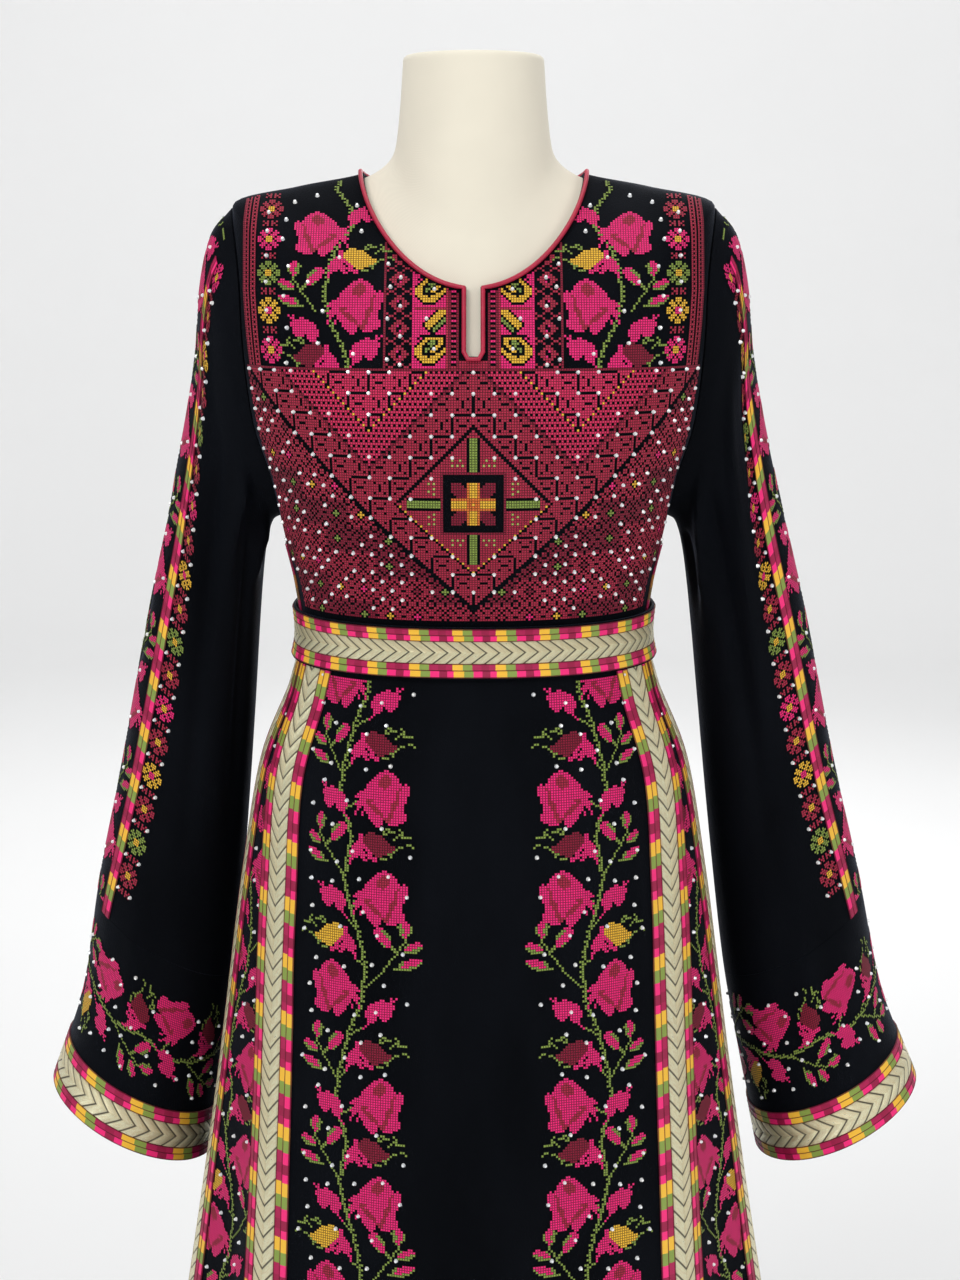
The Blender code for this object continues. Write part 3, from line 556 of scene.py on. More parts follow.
# The chest: rows are counted down from the line between its two fields, columns out from its middle.
CHEST_TOP_ROW = -94
CHEST_BOTTOM_ROW = 104
CHEST_HALF_COLUMNS = 98
DIAMOND_ROW = 50
DIAMOND_REACH = 30
SQUARE_REACH = 12
VEE_COLUMN = 40
VEE_REACH = 22
CHECK_REACH = 36
BRICK = 8
BIG_VEE_REACH = 46
DART_END = 26
STAR_REACH = 8
UPPER_MOTIFS = (
    (-70, 49, "rose", False),
    (-74, 36, "small_flower", False),
    (-53, 31, "yellow_bud", True),
    (-45, 57, "sprig", True),
    (-37, 35, "rose", True),
    (-22, 58, "small_flower", True),
    (-13, 52, "bud", False),
    (-14, 34, "small_flower", False),
)
UPPER_STEM = (
    (-94, 52), (-84, 54), (-72, 48), (-62, 47), (-52, 53), (-42, 56), (-30, 57), (-20, 55), (-10, 50),
    (0, 47),
)
UPPER_ROSETTES = ((-88, "y"), (-72, "c"), (-56, "p"), (-40, "g"), (-24, "y"), (-8, "p"))
UPPER_STONES = (
    (-80, 62), (-76, 71), (-74, 46), (-66, 74), (-60, 44), (-58, 34), (-56, 75), (-47, 52), (-44, 33),
    (-43, 72), (-36, 64), (-34, 32), (-30, 74), (-24, 58), (-21, 33), (-17, 73), (-11, 60), (-7, 46),
    (-5, 33), (-3, 74), (-70, 82), (-60, 82), (-48, 82), (-36, 82), (-24, 82), (-12, 82), (-62, 28),
    (-50, 28), (-38, 28), (-26, 28), (-14, 28), (-3, 28), (-33, 15), (-21, 18), (-9, 15),
)


def srgb(red, green, blue):
    """A colour picked as values from 0 to 255, in the linear values that shaders use."""
    shares = (red / 255, green / 255, blue / 255)
    return tuple(share / 12.92 if share <= 0.04045 else ((share + 0.055) / 1.055) ** 2.4 for share in shares)


def length(name, description, value):
    return FloatProperty(name=name, description=description, default=value, unit="LENGTH", precision=4)


class ThobeSizes(bpy.types.PropertyGroup):
    """Sizes of the sewn details."""

    stitch: length("Stitch", "Width of one cross-stitch", 0.0019)
    stitch_height: length("Stitch height", "How far the thread stands over the velvet", 0.0005)
    stone_width: length("Stone width", "Diameter of one sewn stone", 0.0035)
    stone_height: length("Stone height", "How far a stone stands over the velvet", 0.0019)
    belt_chevron: length("Belt chevron", "Length of one chevron on the belt", 0.0095)
    strip_chevron: length("Strip chevron", "Length of one chevron on the seams", 0.0124)
    belt_repeat: length(
        "Belt braid repeat", "Length after which the belt's braid repeats its colours", 0.0320
    )
    strip_repeat: length(
        "Seam braid repeat", "Length after which the seams' braid repeats its colours", 0.0445
    )
    crease_share: FloatProperty(
        name="Creases", description="How deep the creases are, as a share of their drawn depth", default=1.0,
        min=0.0, max=1.5, subtype="FACTOR"
    )


def colour(name, description, value):
    return FloatVectorProperty(
        name=name, description=description, default=value, subtype="COLOR", min=0, max=1
    )


class ThobeColours(bpy.types.PropertyGroup):
    """Colours of the cloth, threads and stand."""

    velvet: colour("Velvet", "Ground of the dress", srgb(5, 7, 12))
    hot_pink: colour("Hot pink", "Thread of the roses", srgb(252, 40, 126))
    crimson: colour("Crimson", "Thread of the chest's ground", srgb(180, 40, 70))
    rose_red: colour("Rose red", "Thread of the checks over the chest", srgb(220, 46, 94))
    braid_dark: colour("Braid crimson", "Darker stripe and cords of the braid", srgb(140, 10, 56))
    maroon: colour("Maroon", "Thread of the dark buds", srgb(140, 20, 52))
    green: colour("Green", "Thread of stems and leaves", srgb(138, 160, 72))
    light_green: colour("Light green", "Thread of the small leaves", srgb(186, 190, 104))
    yellow: colour("Yellow", "Thread of the yellow buds", srgb(250, 194, 60))
    orange: colour("Orange", "Thread of the star's middle", srgb(232, 122, 52))
    gold: colour("Gold", "Metal thread of the chevron ribbon", srgb(255, 240, 198))
    binding: colour("Binding", "Satin round the neck hole", srgb(176, 20, 58))
    form: colour("Form", "Cloth cover of the dress form", srgb(233, 226, 208))
    steel: colour("Steel", "Pole and foot", srgb(190, 190, 192))
    stone: colour("Stones", "Sewn stones", srgb(246, 246, 244))
    floor: colour("Floor", "Studio floor and backdrop", srgb(240, 240, 240))


def sizes():
    return bpy.context.scene.thobe_sizes


def colours():
    return bpy.context.scene.thobe_colours


class Table:
    """Named columns of a short table, joined down its first column by smooth curves that don't overshoot."""

    def __init__(self, columns, rows):
        values = np.array(rows, float)
        self.where = values[:, 0]
        self.columns = {name: values[:, i] for i, name in enumerate(columns)}
        self.slopes = {name: self.slopes_of(column) for name, column in self.columns.items()}

    def slopes_of(self, column):
        rises = np.diff(column) / np.diff(self.where)
        before, after = rises[:-1], rises[1:]
        same_way = before * after > 0
        mean = np.where(same_way, 2 * before * after / np.where(same_way, before + after, 1.0), 0.0)
        return np.concatenate([[rises[0]], mean, [rises[-1]]])

    def __call__(self, name, where):
        where = np.clip(np.asarray(where, float), self.where[0], self.where[-1])
        i = np.clip(np.searchsorted(self.where, where, side="right") - 1, 0, len(self.where) - 2)
        step = self.where[i + 1] - self.where[i]
        s = (where - self.where[i]) / step
        column, slopes = self.columns[name], self.slopes[name]
        start, end = column[i], column[i + 1]
        return (
            start * (1 + 2 * s) * (1 - s) ** 2
            + slopes[i] * step * s * (1 - s) ** 2
            + end * s * s * (3 - 2 * s)
            - slopes[i + 1] * step * s * s * (1 - s)
        )


BODY = Table(BODY_COLUMNS, BODY_ROWS)
EASE = Table(EASE_COLUMNS, EASE_ROWS)
SEAMS = Table(SEAM_COLUMNS, SEAM_ROWS)
SLEEVE = Table(SLEEVE_COLUMNS, SLEEVE_ROWS)


def smooth(value):
    value = np.clip(value, 0.0, 1.0)
    return value * value * (3 - 2 * value)


def stack(x, y, z):
    return np.stack(np.broadcast_arrays(x, y, z), axis=-1).astype(float)


def turned_off(angle, middle):
    """How far an angle is from another, from -180 to 180 degrees."""
    return (angle - middle + 180.0) % 360.0 - 180.0


def flutes(angle, z):
    """How far the skirt swells out at an angle and height."""
    swell = np.zeros(np.broadcast(angle, z).shape)
    for middle, half_width, depth in FLUTE_ROWS:
        swell = swell + depth * np.exp(-((turned_off(angle, middle) / half_width) ** 2))
    return swell * smooth((FLUTE_TOP_Z - z) / (FLUTE_TOP_Z - HEM_Z))


def creases(rows, angle, height):
    """How far the creases of a table lift the cloth at an angle and height."""
    lifted = np.zeros(np.broadcast(angle, height).shape)
    for middle, lean, low, high, half_width, out in rows:
        along = (height - low) / (high - low)
        inside = smooth(np.minimum(along, 1 - along) / CREASE_END)
        off = turned_off(angle, middle + lean * (along - 0.5))
        lifted = lifted + out * inside * np.exp(-((off / half_width) ** 2))
    return lifted * sizes().crease_share


def plain_body(level, angle):
    """The body with neither flutes nor creases. Angle 0 is the front, 90 is at +X, in degrees."""
    turn = np.radians(angle)
    across, along = np.sin(turn), np.cos(turn)
    power = 2.0 / BODY("square", level)
    at_front = along >= 0
    x = BODY("half_width", level) * np.sign(across) * np.abs(across) ** power
    depth = np.where(at_front, BODY("front", level), BODY("back", level))
    y = -np.sign(along) * depth * np.abs(along) ** power
    end_z = np.where(at_front, BODY("front_z", level), BODY("back_z", level))
    side_z = BODY("side_z", level)
    return stack(x, y, side_z + (end_z - side_z) * np.abs(along) ** BODY("dip", level))


def body(level, angle):
    """A point of the dress's outer surface."""
    point = plain_body(level, angle)
    x, y, z = point[..., 0], point[..., 1], point[..., 2]
    out = flutes(angle, z) + creases(BODY_CREASES, angle, z)
    grown = 1 + out / np.maximum(np.hypot(x, y), 0.01)
    return stack(x * grown, y * grown, z)


def lift(surface, level, angle, out):
    """A surface's point moved outwards along its normal by a distance."""
    point = surface(level, angle)
    level_step, angle_step = 0.01, 0.5
    up = surface(level + level_step, angle) - surface(level - level_step, angle)
    round_it = surface(level, angle + angle_step) - surface(level, angle - angle_step)
    normal = np.cross(round_it, up)
    normal /= np.maximum(np.linalg.norm(normal, axis=-1, keepdims=True), 1e-12)
    return point + normal * np.asarray(out, float)[..., None]


def degrees_per_metre(surface, level, angle):
    """How many degrees round a surface one metre is, at a point."""
    ends = surface(level, angle + 0.5) - surface(level, angle - 0.5)
    return 1.0 / np.linalg.norm(ends, axis=-1)


def levels_per_metre(surface, level, angle):
    step = 0.02
    ends = surface(level + step, angle) - surface(level - step, angle)
    return 2 * step / np.linalg.norm(ends, axis=-1)


def arc_angle(surface, level, arc):
    """The angle that lies a distance round a surface from its angle 0."""
    half_way = 0.5 * arc * degrees_per_metre(surface, level, np.zeros(np.shape(level)))
    return arc * degrees_per_metre(surface, level, half_way)


def level_at(side_z):
    """The level whose side stands at a height."""
    levels = np.linspace(0.0, TOP_LEVEL, 1801)
    return np.interp(side_z, BODY("side_z", levels), levels)


UNDERARM_LEVEL = float(level_at(ARMHOLE_BOTTOM_Z))


def angle_of_depth(level, half_depth):
    """The angle at which the front of a ring is half_depth ahead of its side."""
    share = np.clip(half_depth / BODY("front", level), 0.0, 1.0)
    return np.degrees(np.arccos(share ** (BODY("square", level) / 2)))


def angle_of_width(level, offset):
    """The angle at which the front of a ring is offset beside its middle."""
    share = np.clip(offset / BODY("half_width", level), 0.0, 1.0)
    return np.degrees(np.arcsin(share ** (BODY("square", level) / 2)))


def edge_half_depth(level):
    """How far the bodice's panels stop short of the side line: the armhole, and the side panel under it."""
    z = BODY("side_z", level)
    share = np.clip((z - ARMHOLE_MIDDLE_Z) / ARMHOLE_HALF_HEIGHT, -1.0, 1.0)
    hole = ARMHOLE_HALF_DEPTH * np.sqrt(1 - share**2) * (level <= TIP_LEVEL)
    taper = smooth((ARMHOLE_BOTTOM_Z - z) / SIDE_PANEL_TAPER)
    panel = UNDERARM_HALF_DEPTH + (SIDE_PANEL_HALF_DEPTH - UNDERARM_HALF_DEPTH) * taper
    return np.where(z < ARMHOLE_MIDDLE_Z, np.maximum(hole, panel), hole)


def bodice_edge(level):
    """The angle of the front panel's side edge, or of the shoulder seam over the tip. The back mirrors it."""
    angle = angle_of_depth(level, edge_half_depth(level))
    gap = np.where(level > TIP_LEVEL - 0.2, SHOULDER_GAP, SEAM_GAP) / 2
    return angle - gap * degrees_per_metre(plain_body, level, angle)


def sleeve_of(side):
    """One sleeve's outer surface. Angle 0 is its outer line; 90 faces the front at +X and the back at -X."""
    sign, swing = SIDES[side], SLEEVE_SWING[side]

    def ring(level, angle):
        turn = np.radians(angle)
        grown = 1 + creases(SLEEVE_CREASES[side], angle, level) / SLEEVE("half_depth", level)
        outer = np.stack([SLEEVE("outer_x", level), SLEEVE("outer_z", level)])
        inner = np.stack([SLEEVE("inner_x", level), SLEEVE("inner_z", level)])
        across = (outer + inner) / 2 + (outer - inner) / 2 * np.cos(turn) * grown
        y = SLEEVE("middle_y", level) - SLEEVE("half_depth", level) * np.sin(turn) * grown
        return across[0], y, across[1]

    def armhole(angle):
        """The sleeve's end, a little inside the bodice's armhole and on its surface."""
        turn = np.radians(angle)
        height = ARMHOLE_MIDDLE_Z + (ARMHOLE_HALF_HEIGHT - 3 * SEAM_GAP) * np.cos(turn)
        level = level_at(height)
        half_depth = (ARMHOLE_HALF_DEPTH - 3 * SEAM_GAP) * np.abs(np.sin(turn))
        at = angle_of_depth(level, half_depth)
        point = plain_body(level, np.where(np.sin(turn) >= 0, at, 180.0 - at))
        point[..., 1] = -half_depth * np.sign(np.sin(turn))
        return point

    def surface(level, angle):
        level, angle = np.broadcast_arrays(np.asarray(level, float), sign * np.asarray(angle, float))
        x, y, z = ring(level, angle)
        first = armhole(angle)
        fade = 1 - smooth(level / ARMHOLE_FADE)
        x0, y0, z0 = ring(np.zeros_like(level), angle)
        x = x + (first[..., 0] - x0) * fade
        y = y + (first[..., 1] - y0) * fade
        z = z + (first[..., 2] - z0) * fade
        hung = np.clip(level / HEM_LEVEL, 0.0, 1.0)
        return stack(sign * (x + swing * hung**3), y, z)

    return surface


def form_surface(level, angle):
    """The dress form, inside the cloth by the cloth's thickness, a small gap and the ease."""
    side_share = np.abs(np.sin(np.radians(angle))) ** 4
    ease = EASE("round", level) + EASE("side", level) * side_share
    in_cloth = 1 - smooth((level - NECK_LEVEL) / 1.0)
    return lift(plain_body, level, angle, -((VELVET + FORM_GAP) * in_cloth + ease))


def measured(points):
    """Distances along a line of points from its first."""
    steps = np.linalg.norm(np.diff(points, axis=0), axis=1)
    return np.concatenate([[0.0], np.cumsum(steps)])


class Run:
    """A line over a surface, which gives the level and angle at a distance along it."""

    def __init__(self, surface, levels, angles):
        self.levels, self.angles = np.broadcast_arrays(levels, angles)
        self.far = measured(surface(self.levels, self.angles))
        self.length = float(self.far[-1])

    def level(self, distance):
        return np.interp(distance, self.far, self.levels)

    def angle(self, distance):
        return np.interp(distance, self.far, self.angles)


def ring_run(surface, level, start=0.0):
    """A full turn round a surface at one level, from the angle start."""
    return Run(surface, np.full(RING_STEPS, level), np.linspace(start, start + 360.0, RING_STEPS))


def flat_grid(columns, rows, closed=False):
    """A grid whose points hold their place across (x) and down (y), from 0 to 1, in a UV map too."""
    bm = bmesh.new()
    bmesh.ops.create_grid(bm, x_segments=columns, y_segments=rows, size=0.5)
    bmesh.ops.translate(bm, verts=bm.verts, vec=(0.5, 0.5, 0.0))
    lay = bm.loops.layers.uv.new("lay")
    for face in bm.faces:
        for loop in face.loops:
            loop[lay].uv = loop.vert.co.xy
    if closed:
        starts = {round(v.co.y, 5): v for v in bm.verts if v.co.x < 1e-5}
        ends = {v: starts[round(v.co.y, 5)] for v in bm.verts if v.co.x > 1 - 1e-5}
        bmesh.ops.weld_verts(bm, targetmap=ends)
    return bm


def drop_edges(bm):
    """Gives a flat grid short walls down from its open edges, to feet at z = -1."""
    lay = bm.loops.layers.uv["lay"]
    thread = bm.faces.layers.int.get("thread")
    tops = {edge: edge.link_faces[0] for edge in bm.edges if edge.is_boundary}
    grown = bmesh.ops.extrude_edge_only(bm, edges=list(tops))["geom"]
    feet = [g for g in grown if isinstance(g, bmesh.types.BMVert)]
    bmesh.ops.translate(bm, verts=feet, vec=(0.0, 0.0, -1.0))
    for edge, top in tops.items():
        side = next(face for face in edge.link_faces if face is not top)
        side.normal_update()
        middle = (edge.verts[0].co + edge.verts[1].co) / 2
        if side.normal.dot(middle - top.calc_center_median()) < 0:
            side.normal_flip()
        at_top = {loop.vert: loop[lay].uv.copy() for loop in top.loops}
        for loop in side.loops:
            above = loop.vert
            if above.co.z < -0.5:
                beside = (loop.link_loop_prev.vert, loop.link_loop_next.vert)
                above = next(vert for vert in beside if vert.co.z > -0.5)
            loop[lay].uv = at_top[above]
        if thread:
            side[thread] = top[thread]


def new_piece(name, mesh, material, nodes=(), crisp=40.0):
    """Links a finished mesh as a piece of the dress, in place of the frame's nodes that it stands for."""
    mesh.materials.clear()
    mesh.materials.append(material)
    mesh.shade_smooth()
    mesh.set_sharp_from_angle(angle=math.radians(crisp))
    piece = bpy.data.objects.new(name, mesh)
    bpy.context.scene.collection.objects.link(piece)
    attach(piece, "root")
    if nodes:
        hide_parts(*nodes)
    return piece


def solid_piece(name, bm, material, nodes=(), crisp=40.0):
    """A piece from a closed bmesh, its faces turned outwards."""
    bmesh.ops.recalc_face_normals(bm, faces=bm.faces)
    if bm.calc_volume(signed=True) < 0:
        bmesh.ops.reverse_faces(bm, faces=bm.faces)
    mesh = bpy.data.meshes.new(name)
    bm.to_mesh(mesh)
    bm.free()
    return new_piece(name, mesh, material, nodes, crisp)


def place(verts, point):
    """Moves grid points from their places across and down to where point(u, v) puts them."""
    verts = list(verts)
    places = np.array([v.co[:2] for v in verts])
    for vert, to in zip(verts, point(places[:, 0], places[:, 1])):
        vert.co = to


def cloth_wall(name, outer, inner, columns, rows, material, closed=False, cut=None):
    """A wall of cloth between two surfaces, each a function of the place across and down it."""
    bm = flat_grid(columns, rows, closed)
    if cut:
        gone = [f for f in bm.faces if cut(*f.calc_center_median()[:2])]
        bmesh.ops.delete(bm, geom=gone, context="FACES")
    grown = bmesh.ops.extrude_face_region(bm, geom=bm.faces[:], use_keep_orig=True)
    inside = [g for g in grown["geom"] if isinstance(g, bmesh.types.BMVert)]
    outside = set(bm.verts) - set(inside)
    place(inside, inner)
    place(outside, outer)
    return solid_piece(f"{name}_cloth", bm, material, [name])


def velvet_panel(name, level, angle, columns, rows, surface=body, closed=False, cut=None):
    """A velvet panel in place of a node, on the part of a surface that level(v) and angle(u, levels) give."""

    def at_depth(depth):
        def point(u, v):
            levels = level(v)
            return lift(surface, levels, angle(u, levels), np.full(np.shape(u), -depth))

        return point

    return cloth_wall(name, at_depth(0.0), at_depth(VELVET), columns, rows, velvet_cloth(), closed, cut)


def laid_mesh(name, bm, put, map_point):
    """A mesh from a flat grid with feet. put(u, v, foot) places its points, map_point(u, v) its UV map."""
    mesh = bpy.data.meshes.new(name)
    bm.to_mesh(mesh)
    bm.free()
    flat = np.empty(len(mesh.vertices) * 3)
    mesh.vertices.foreach_get("co", flat)
    flat = flat.reshape(-1, 3)
    foot = flat[:, 2] < -0.5
    across, down = flat[:, 0], flat[:, 1]
    placed = put(across, down, foot)
    outward = put(across, down, np.zeros_like(foot)) - put(across, down, np.ones_like(foot))
    mesh.vertices.foreach_set("co", placed.ravel())
    lay = np.empty(len(mesh.loops) * 2)
    mesh.uv_layers["lay"].data.foreach_get("uv", lay)
    lay = lay.reshape(-1, 2)
    mesh.uv_layers["lay"].data.foreach_set("uv", map_point(lay[:, 0], lay[:, 1]).ravel())
    mesh.update()
    faces_out(mesh, outward, foot)
    return mesh


def faces_out(mesh, outward, foot):
    """Turns a laid mesh's faces over if those on its top look in."""
    starts = np.empty(len(mesh.polygons), int)
    mesh.polygons.foreach_get("loop_start", starts)
    corners = np.empty(len(mesh.loops), int)
    mesh.loops.foreach_get("vertex_index", corners)
    normals = np.empty(len(mesh.polygons) * 3)
    mesh.polygons.foreach_get("normal", normals)
    first, third = corners[starts], corners[starts + 2]
    tops = ~(foot[first] | foot[third])
    facing = (normals.reshape(-1, 3)[tops] * outward[first[tops]]).sum()
    if facing < 0:
        mesh.flip_normals()


def add_node(tree, kind, inputs=None, **settings):
    """Adds a shader node; inputs are values, or sockets to link."""
    node = tree.nodes.new("ShaderNode" + kind)
    for name, value in settings.items():
        setattr(node, name, value)
    for key, value in (inputs or {}).items():
        if isinstance(value, bpy.types.NodeSocket):
            tree.links.new(value, node.inputs[key])
        else:
            node.inputs[key].default_value = value
    return node


def calc(tree, operation, *values):
    """The result of a Math node."""
    return add_node(tree, "Math", dict(enumerate(values)), operation=operation).outputs[0]


def blend_colours(tree, share, first, second):
    """The colour result of a Mix node."""
    inputs = {"Factor": share, 6: first, 7: second}
    return add_node(tree, "Mix", inputs, data_type="RGBA").outputs[2]


def remap(tree, value, low, high, to_low, to_high):
    inputs = {0: value, 1: low, 2: high, 3: to_low, 4: to_high}
    return add_node(tree, "MapRange", inputs).outputs[0]


def noise(tree, vector, scale, detail=2.0, roughness=0.5):
    inputs = {"Vector": vector, "Scale": scale, "Detail": detail, "Roughness": roughness}
    return add_node(tree, "TexNoise", inputs).outputs[0]


def new_group(name, inputs, outputs):
    """An empty shader group with named sockets, and its input and output nodes."""
    group = bpy.data.node_groups.new(name, "ShaderNodeTree")
    for label, kind, value in inputs:
        socket = group.interface.new_socket(label, in_out="INPUT", socket_type=f"NodeSocket{kind}")
        if value is not None:
            socket.default_value = value
    for label, kind in outputs:
        group.interface.new_socket(label, in_out="OUTPUT", socket_type=f"NodeSocket{kind}")
    return group, group.nodes.new("NodeGroupInput"), group.nodes.new("NodeGroupOutput")


def use_group(tree, group, **inputs):
    node = tree.nodes.new("ShaderNodeGroup")
    node.node_tree = group
    for label, value in inputs.items():
        socket = node.inputs[label.replace("_", " ").capitalize()]
        if isinstance(value, bpy.types.NodeSocket):
            tree.links.new(value, socket)
        else:
            socket.default_value = value
    return node


def made_once(kind, name):
    """Lets a function make its material or node group once, and gives the one that is there from then on."""

    def wrap(make):
        def find():
            store = bpy.data.materials if kind == "materials" else bpy.data.node_groups
            return store.get(name) or make(name)

        return find

    return wrap


@made_once("node_groups", "grain")
def grain_group(name):
    """Fine fibres and broad uneven shading, for cloth, metal and the floor."""
    inputs = (("Vector", "Vector", None), ("Fine scale", "Float", 900.0), ("Broad scale", "Float", 9.0))
    group, start, end = new_group(name, inputs, (("Fine", "Float"), ("Broad", "Float")))
    vector = start.outputs["Vector"]
    fine = noise(group, vector, start.outputs["Fine scale"], detail=1.0)
    broad = noise(group, vector, start.outputs["Broad scale"], detail=3.0, roughness=0.55)
    group.links.new(fine, end.inputs["Fine"])
    group.links.new(broad, end.inputs["Broad"])
    return group


@made_once("node_groups", "ribs")
def rib_group(name):
    """Threads laid side by side across a UV map's first axis, with a little waver."""
    inputs = (("Vector", "Vector", None), ("Count", "Float", 12.0), ("Waver", "Float", 0.15))
    group, start, end = new_group(name, inputs, (("Mask", "Float"), ("Height", "Float")))
    across = add_node(group, "SeparateXYZ", {0: start.outputs["Vector"]}).outputs[0]
    wander = noise(group, start.outputs["Vector"], 3.0)
    moved = calc(group, "MULTIPLY_ADD", wander, start.outputs["Waver"], across)
    turns = calc(group, "MULTIPLY", moved, start.outputs["Count"])
    wave = calc(group, "SINE", calc(group, "MULTIPLY", turns, math.tau))
    group.links.new(remap(group, wave, -1.0, 0.2, 0.0, 1.0), end.inputs["Mask"])
    group.links.new(remap(group, wave, -1.0, 1.0, 0.0, 1.0), end.inputs["Height"])
    return group


@made_once("node_groups", "cross stitch")
def cross_stitch_group(name):
    """Two threads that cross in every unit square of a UV map: how lit each place is, and its height."""
    outputs = (("Shade", "Float"), ("Height", "Float"))
    group, start, end = new_group(name, (("Vector", "Vector", None),), outputs)
    place_in = add_node(group, "SeparateXYZ", {0: start.outputs["Vector"]})
    u = calc(group, "FRACT", place_in.outputs[0])
    v = calc(group, "FRACT", place_in.outputs[1])
    rising = calc(group, "ABSOLUTE", calc(group, "SUBTRACT", u, v))
    falling = calc(group, "ABSOLUTE", calc(group, "SUBTRACT", calc(group, "ADD", u, v), 1.0))
    under = remap(group, rising, 0.0, 0.42, 0.75, 0.0)
    over = remap(group, falling, 0.0, 0.42, 1.0, 0.0)
    height = calc(group, "MAXIMUM", under, over)
    off_middle = calc(group, "MAXIMUM", calc(group, "ABSOLUTE", calc(group, "SUBTRACT", u, 0.5)),
                      calc(group, "ABSOLUTE", calc(group, "SUBTRACT", v, 0.5)))
    between = remap(group, off_middle, 0.30, 0.47, 1.0, 0.04)
    lit = calc(group, "MULTIPLY", between, remap(group, height, 0.0, 0.6, 0.55, 1.0))
    group.links.new(lit, end.inputs["Shade"])
    group.links.new(height, end.inputs["Height"])
    return group


@made_once("node_groups", "braid blocks")
def block_group(name):
    """The colours of a striped braid along a UV map's second axis, and its cords across the first."""
    shades = colours()
    inputs = [("Vector", "Vector", None), ("Yellow start", "Float", 0.54), ("Green start", "Float", 0.78)]
    for label, value in (("Pink", shades.hot_pink), ("Dark", shades.braid_dark), ("Yellow", shades.yellow),
                         ("Green", shades.green)):
        inputs.append((label, "Color", (*value, 1.0)))
    outputs = (("Color", "Color"), ("Cord", "Float"), ("Height", "Float"))
    group, start, end = new_group(name, inputs, outputs)
    place_in = add_node(group, "SeparateXYZ", {0: start.outputs["Vector"]})
    across = place_in.outputs[0]
    inner = calc(group, "GREATER_THAN", across, 0.5)
    along = calc(group, "FRACT", calc(group, "MULTIPLY_ADD", inner, 0.03, place_in.outputs[1]))
    wander = noise(group, start.outputs["Vector"], 40.0)
    edge = calc(group, "MULTIPLY_ADD", calc(group, "SUBTRACT", wander, 0.5), 0.03, along)
    in_yellow = calc(group, "GREATER_THAN", edge, start.outputs["Yellow start"])
    in_green = calc(group, "GREATER_THAN", edge, start.outputs["Green start"])
    middle = calc(group, "LESS_THAN", calc(group, "ABSOLUTE", calc(group, "SUBTRACT", along, 0.3)), 0.09)
    dark = calc(group, "MAXIMUM", calc(group, "MULTIPLY", inner, 0.75), calc(group, "MULTIPLY", middle, 0.9))
    pink = blend_colours(group, dark, start.outputs["Pink"], start.outputs["Dark"])
    warm = blend_colours(group, in_yellow, pink, start.outputs["Yellow"])
    blocks = blend_colours(group, in_green, warm, start.outputs["Green"])
    off_middle = calc(group, "ABSOLUTE", calc(group, "SUBTRACT", across, 0.5))
    cord = calc(group, "MAXIMUM", calc(group, "LESS_THAN", off_middle, 0.035),
                calc(group, "GREATER_THAN", off_middle, 0.43))
    deep = add_node(group, "VectorMath", {0: start.outputs["Dark"], 3: 0.45}, operation="SCALE").outputs[0]
    shaded = blend_colours(group, calc(group, "MULTIPLY", cord, 0.85), blocks, deep)
    ribs = calc(group, "SINE", calc(group, "MULTIPLY", place_in.outputs[1], 420.0))
    group.links.new(shaded, end.inputs["Color"])
    group.links.new(cord, end.inputs["Cord"])
    group.links.new(ribs, end.inputs["Height"])
    return group


@made_once("node_groups", "weave")
def weave_group(name):
    """A plain weave over Object coordinates: threads across and up."""
    inputs = (("Vector", "Vector", None), ("Scale", "Float", 1500.0))
    group, start, end = new_group(name, inputs, (("Height", "Float"),))
    scaled = add_node(group, "VectorMath", {0: start.outputs["Vector"], 3: start.outputs["Scale"]},
                      operation="SCALE").outputs[0]
    place_in = add_node(group, "SeparateXYZ", {0: scaled})
    side = calc(group, "SINE", calc(group, "ADD", place_in.outputs[0], place_in.outputs[1]))
    up = calc(group, "SINE", place_in.outputs[2])
    group.links.new(calc(group, "MULTIPLY", side, up), end.inputs["Height"])
    return group


def new_material(name, roughness, metallic=0.0, **shader_values):
    """A material with a Principled BSDF. Its constant values are set on the shader itself."""
    made = bpy.data.materials.new(name)
    made.use_nodes = True
    tree = made.node_tree
    shader = tree.nodes["Principled BSDF"]
    shader.inputs["Roughness"].default_value = roughness
    shader.inputs["Metallic"].default_value = metallic
    for label, value in shader_values.items():
        shader.inputs[label.replace("_", " ").title().replace("Ior", "IOR")].default_value = value
    return made, tree, shader


def feed(tree, shader, base_colour, roughness):
    """Links a material's uneven colour and roughness to its shader."""
    tree.links.new(base_colour, shader.inputs["Base Color"])
    tree.links.new(roughness, shader.inputs["Roughness"])


def bump(tree, shader, height, distance, strength=1.0):
    node = add_node(tree, "Bump", {"Height": height, "Distance": distance, "Strength": strength})
    tree.links.new(node.outputs[0], shader.inputs["Normal"])


def shades_of(tree, value, share, low, high):
    """A colour that runs from low to high times itself as share goes from 0 to 1."""
    dark = (*(c * low for c in value), 1.0)
    light = (*(min(c * high, 1.0) for c in value), 1.0)
    return blend_colours(tree, share, dark, light)


